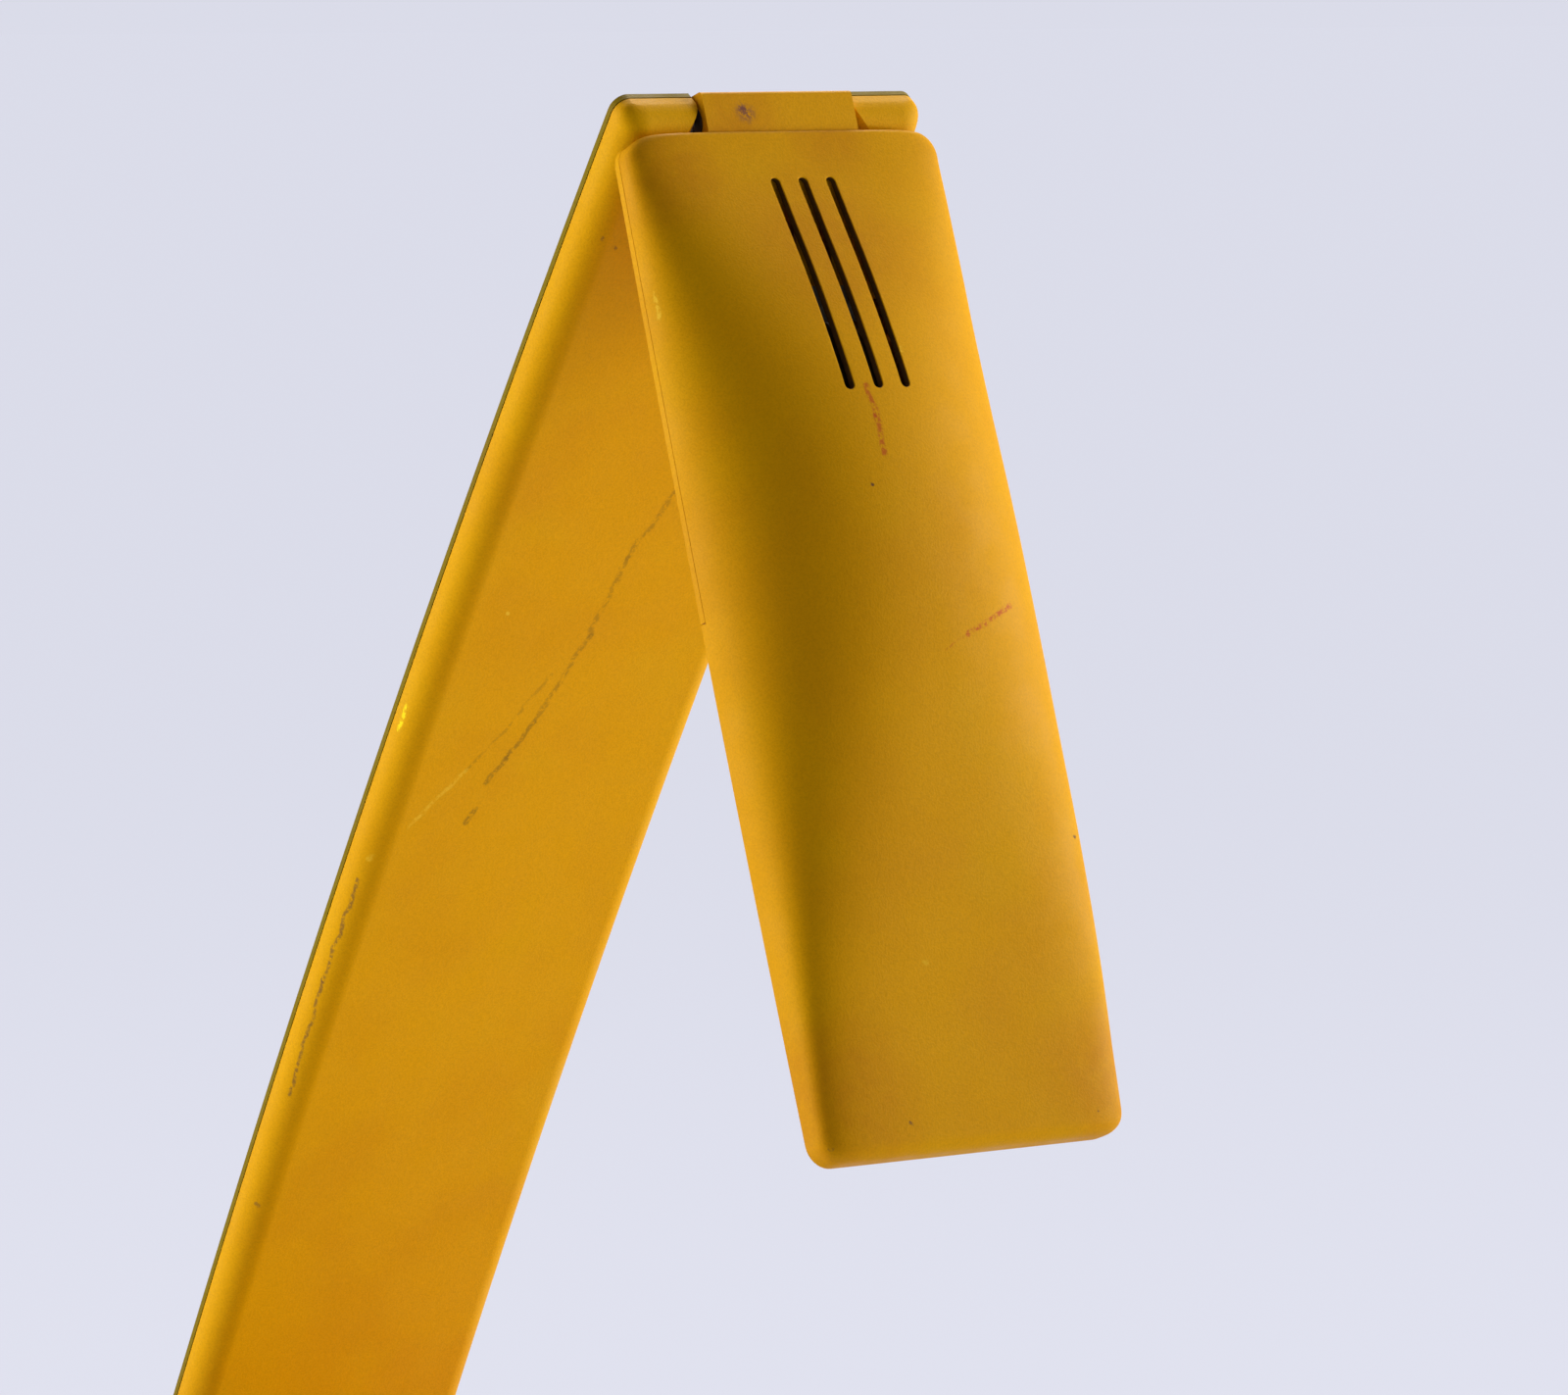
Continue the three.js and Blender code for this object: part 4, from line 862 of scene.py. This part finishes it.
def screw(node, head_radius, head_height, shank_radius, length, place):
    """Slotted screw: head below along -Z, threaded shank upwards."""
    r, h = head_radius, head_height
    profile = [(0.02, 0), (0.55 * r, 0.02 * h), (0.85 * r, 0.18 * h), (0.97 * r, 0.42 * h),
               (r, 0.6 * h), (r, h), (shank_radius, h)]
    threads = max(3, round(length / 0.8))
    pitch = length / threads
    for i in range(threads):
        z = h + pitch * i
        profile += [(0.8 * shank_radius, z + 0.25 * pitch), (shank_radius, z + 0.75 * pitch)]
    profile.append((0.8 * shank_radius, h + length))
    piece = turned(f"{node}_look", profile, place, "Z", 28)
    cut(piece, block("slot", (-2 * r, 2 * r), (-0.35, 0.35), (-1, 0.5 * h), place))
    return finish_piece(piece, STEEL, node)


QUARTER = Matrix.Rotation(math.pi / 2, 4, "X")
BASE_SCREW_LOW = 0.6  # the heads sit in the foot pad's clearance holes


def all_screws():
    for i, (x, y) in enumerate(BASE_SCREWS):
        screw(f"base_screw_{i + 1}", 3.4, 1.6, 1.6, 12, tilted((x, y, BASE_SCREW_LOW), 0))
    for i, (x, s) in enumerate(ARM_SCREWS):
        place = on_arm(s) @ Matrix.Translation(Vector((x, 1.7, 0)) * MM) @ QUARTER
        screw(f"arm_screw_{i + 1}", 2.8, 1.4, 1.05, 6.2, place)
    for i, (x, h) in enumerate(FRAME_SCREWS):
        place = HEAD @ Matrix.Translation(Vector((x, 1.4 - ramp_low(h), -h)) * MM) @ QUARTER
        screw(f"frame_screw_{i + 1}", 2.3, 1.1, 0.85, 4.6, place)
    for i, (x, h) in enumerate(COVER_SCREWS):
        place = HEAD @ Matrix.Translation(Vector((x, 1, -h)) * MM) @ QUARTER
        screw(f"cover_screw_{i + 1}", 2.3, 1, 0.85, 4, place)


# ---------- lamp unit ----------

GLASS_HALF_WIDTH, GLASS_HALF_LENGTH, GLASS_THICKNESS = 26, 30, 2
MOUTH = RAMP_THICKNESS + GAP + GLASS_THICKNESS + GAP
LAMP_HEIGHT = MOUTH + 3.9
REFLECTOR_SIZE = (24, 28, 11.8)  # half width, half length, depth
REFLECTOR_INSIDE = 0.95  # inner surface, as a share of the outer
FLANGE_THICKNESS, FLUTE_DEPTH = 0.8, 0.006
HOLDER_HALF, HOLDER_SPAN, HOLDER_HEIGHT = 7, (20.5, 32), 5.2


def bowl_rings(sides):
    """Rings of the reflector's shallow-fluted bowl: down its outside and back up its inside."""
    half_x, half_z, depth = REFLECTOR_SIZE
    profile = [(1, angle) for angle in np.linspace(0, 88, 16)]
    profile += [(REFLECTOR_INSIDE, angle) for angle in np.linspace(88, 0, 16)]
    rings = []
    for scale, angle in profile:
        radius = scale * math.cos(math.radians(angle))
        height = -MOUTH - depth * scale * math.sin(math.radians(angle))
        ring = []
        for i in range(sides):
            a = 2 * math.pi * i / sides
            reach = radius * (1 - FLUTE_DEPTH if i % 4 == 0 else 1)
            ring.append((half_x * reach * math.cos(a), height, half_z * reach * math.sin(a)))
        rings.append(ring)
    return rings


def reflector():
    """Polished bowl with a flat flange that covers the glass."""
    sides = 96
    half_x, half_z, _ = REFLECTOR_SIZE
    bowl = ring_loft("reflector_look", bowl_rings(sides), LAMP)
    mouth = bar("mouth", "Y", REFLECTOR_INSIDE, (-MOUTH - 5, 0), (0, 0), LAMP, sides)
    mouth.data.transform(Matrix.Diagonal((half_x, 1, half_z, 1)))
    flange = block("flange", (-GLASS_HALF_WIDTH, GLASS_HALF_WIDTH),
                   (-MOUTH - FLANGE_THICKNESS, -MOUTH), (-GLASS_HALF_LENGTH, GLASS_HALF_LENGTH),
                   LAMP)
    join(bowl, cut(flange, mouth))
    half = HOLDER_HALF + GAP
    cut(bowl, block("holder_space", (-half, half), (-MOUTH - HOLDER_HEIGHT - GAP, -MOUTH),
                    (HOLDER_SPAN[0] - GAP, HOLDER_SPAN[1] + GAP), LAMP))
    return finish_piece(bowl, BRIGHT, "reflector")


def capsule():
    """Clear bulb with a pinched base, hollow inside for a coiled filament."""
    outer = [(0.05, -12), (0.7, -11.95), (1.4, -11.6), (2.3, -11), (3.0, -10), (3.45, -8.8),
             (3.6, -7.5), (3.6, 7.2), (3.45, 8.6), (3.1, 9.8), (2.9, 11), (2.9, 18.2),
             (2.7, 18.5), (0.05, 18.5)]
    bulb = turned("lamp_capsule_look", outer, LAMP)
    bulb.data.transform(Matrix.Translation(Vector((0, -LAMP_HEIGHT, 0)) * MM))
    cavity = turned("cavity", [(0.05, -10.5), (1.8, -10), (2.7, -8), (2.8, 6), (2.2, 8),
                               (0.05, 8.6)], LAMP)
    cavity.data.transform(Matrix.Translation(Vector((0, -LAMP_HEIGHT, 0)) * MM))
    cut(bulb, cavity)
    return finish_piece(bulb, CLEAR_GLASS, "lamp_capsule")


def filament():
    """Tungsten coil held between two wires."""
    turns, points = 9, []
    for t in np.linspace(0, 1, 16 * turns):
        a = 2 * math.pi * turns * t
        points.append((0.55 * math.cos(a), -LAMP_HEIGHT + 0.55 * math.sin(a), 2.5 - 6 * t))
    path = [(-1.2, -LAMP_HEIGHT, 7), (-1.2, -LAMP_HEIGHT, 3.4), *points,
            (1.2, -LAMP_HEIGHT, -4.4), (1.2, -LAMP_HEIGHT, 7)]
    curve = bpy.data.curves.new("filament", "CURVE")
    curve.dimensions = "3D"
    curve.bevel_depth = 0.09 * MM
    spline = curve.splines.new("POLY")
    spline.points.add(len(path) - 1)
    for point, place in zip(spline.points, path):
        point.co = (*(c * MM for c in place), 1)
    piece = bpy.data.objects.new("filament", curve)
    bpy.context.scene.collection.objects.link(piece)
    piece.matrix_world = LAMP
    curve.materials.append(STEEL)
    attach(piece, "head")
    return piece


# ---------- everything ----------

head_shell()
head_frame()
arm_front()
arm_back()
base_cover()
gland()
all_screws()
reflector()
capsule()
filament()
REFINED = {
    "head_under_cover": (0.2, FRAME_PLASTIC), "safety_glass": (0.3, CLEAR_GLASS),
    "lampholder": (0.2, HEATED_CERAMIC), "foot_pad": (0.5, RUBBER),
    "base_plate": (0.25, DARK_STEEL), "counterweight": (0.8, CAST_IRON),
    "transformer_core": (0.3, DARK_STEEL),
    "transformer_coil": (0.8, COPPER), "transformer_strap": (0.2, STEEL),
    "terminal_block": (0.3, CERAMIC), "switch_housing": (0.25, BLACK),
    "switch_rocker": (0.3, BLACK), "arm_stiffener": (0.2, STEEL),
    "upper_hinge_pin": (0.15, STEEL), "lower_hinge_pin": (0.2, STEEL),
}
for node, (width, look) in REFINED.items():
    refined(node, width, look)
KEPT = {
    "arm_lead_left": COPPER, "arm_lead_right": COPPER, "head_lead_left": COPPER,
    "head_lead_right": COPPER, "lamp_pin_left": STEEL, "lamp_pin_right": STEEL,
    "strap_screw_1": STEEL, "strap_screw_2": STEEL, "upper_washer_left": BLACK,
    "upper_washer_right": BLACK, "lower_washer_left": BLACK, "lower_washer_right": BLACK,
}
for node, look in KEPT.items():
    for material_slot in NODES[node].material_slots:
        material_slot.material = look

# ---------- studio ----------

BACKDROP = (0.705, 0.715, 0.815, 1)
FLOOR_REACH, FLOOR_DROP = 40000, 0.1
CAMERA_TURN_DEGREES, CAMERA_DIP_DEGREES = -34.31, 5.65
SUBJECT = Vector((0, -0.10, 0.26))


def floor():
    """Wide pale floor that glows a little, so that it stays even out to the horizon."""
    corners = [(-1, -1), (1, -1), (1, 1), (-1, 1)]
    points = [(x * FLOOR_REACH, y * FLOOR_REACH, -FLOOR_DROP) for x, y in corners]
    piece = solid("floor", points, [(0, 1, 2, 3)], HERE)
    g = Graph("pale_floor")
    tint = g.mix(g.ramp(g.noise(900, 2), 0.3, 0.7), (0.018, 0.018, 0.02), (0.02, 0.02, 0.022))
    g.set(Base_Color=tint, Roughness=0.9, Specular_IOR_Level=0.1,
          Emission_Color=BACKDROP, Emission_Strength=1.0)
    piece.data.materials.append(g.material)


def softbox(name, direction, distance, size, power, tint):
    """Soft light facing the subject from a direction given as the camera's (right, up, back)."""
    light = bpy.data.lights.new(name, "AREA")
    light.shape = "RECTANGLE"
    light.size, light.size_y = size
    light.energy = power
    light.color = tint
    lamp = bpy.data.objects.new(name, light)
    bpy.context.scene.collection.objects.link(lamp)
    away = (CAMERA_TURN @ Vector(direction)).normalized()
    lamp.location = SUBJECT + away * distance
    lamp.rotation_euler = away.to_track_quat("Z", "Y").to_euler()


def world():
    """Pale to the camera, dim as a light."""
    scene_world = bpy.data.worlds.new("studio")
    scene_world.use_nodes = True
    tree = scene_world.node_tree
    tree.nodes.clear()
    output = tree.nodes.new("ShaderNodeOutputWorld")
    seen = tree.nodes.new("ShaderNodeBackground")
    seen.inputs["Color"].default_value = BACKDROP
    unseen = tree.nodes.new("ShaderNodeBackground")
    unseen.inputs["Color"].default_value = (0.05, 0.05, 0.055, 1)
    rays = tree.nodes.new("ShaderNodeLightPath")
    mix = tree.nodes.new("ShaderNodeMixShader")
    tree.links.new(rays.outputs["Is Camera Ray"], mix.inputs[0])
    tree.links.new(unseen.outputs[0], mix.inputs[1])
    tree.links.new(seen.outputs[0], mix.inputs[2])
    tree.links.new(mix.outputs[0], output.inputs["Surface"])
    bpy.context.scene.world = scene_world


def camera():
    data = bpy.data.cameras.new("camera")
    data.lens = 168.75
    data.sensor_width = 36
    data.clip_end = 100
    item = bpy.data.objects.new("camera", data)
    bpy.context.scene.collection.objects.link(item)
    item.location = (-0.85699, -1.36869, 0.40883)
    item.rotation_euler = (math.radians(90 - CAMERA_DIP_DEGREES), 0,
                           math.radians(CAMERA_TURN_DEGREES))
    bpy.context.scene.camera = item
    return item.rotation_euler.to_matrix()


CAMERA_TURN = camera()
floor()
world()
softbox("right_softbox", (1.0, 0.05, -0.2), 1.3, (0.9, 1.4), 32, (1.0, 0.98, 0.95))
softbox("left_softbox", (-1.0, 0.05, 0.05), 1.4, (0.8, 1.4), 29, (1.0, 0.98, 0.96))
softbox("top_softbox", (0.0, 0.85, -0.5), 1.3, (1.0, 0.7), 25, (1.0, 1.0, 1.0))
bpy.context.scene.view_settings.view_transform = "Standard"
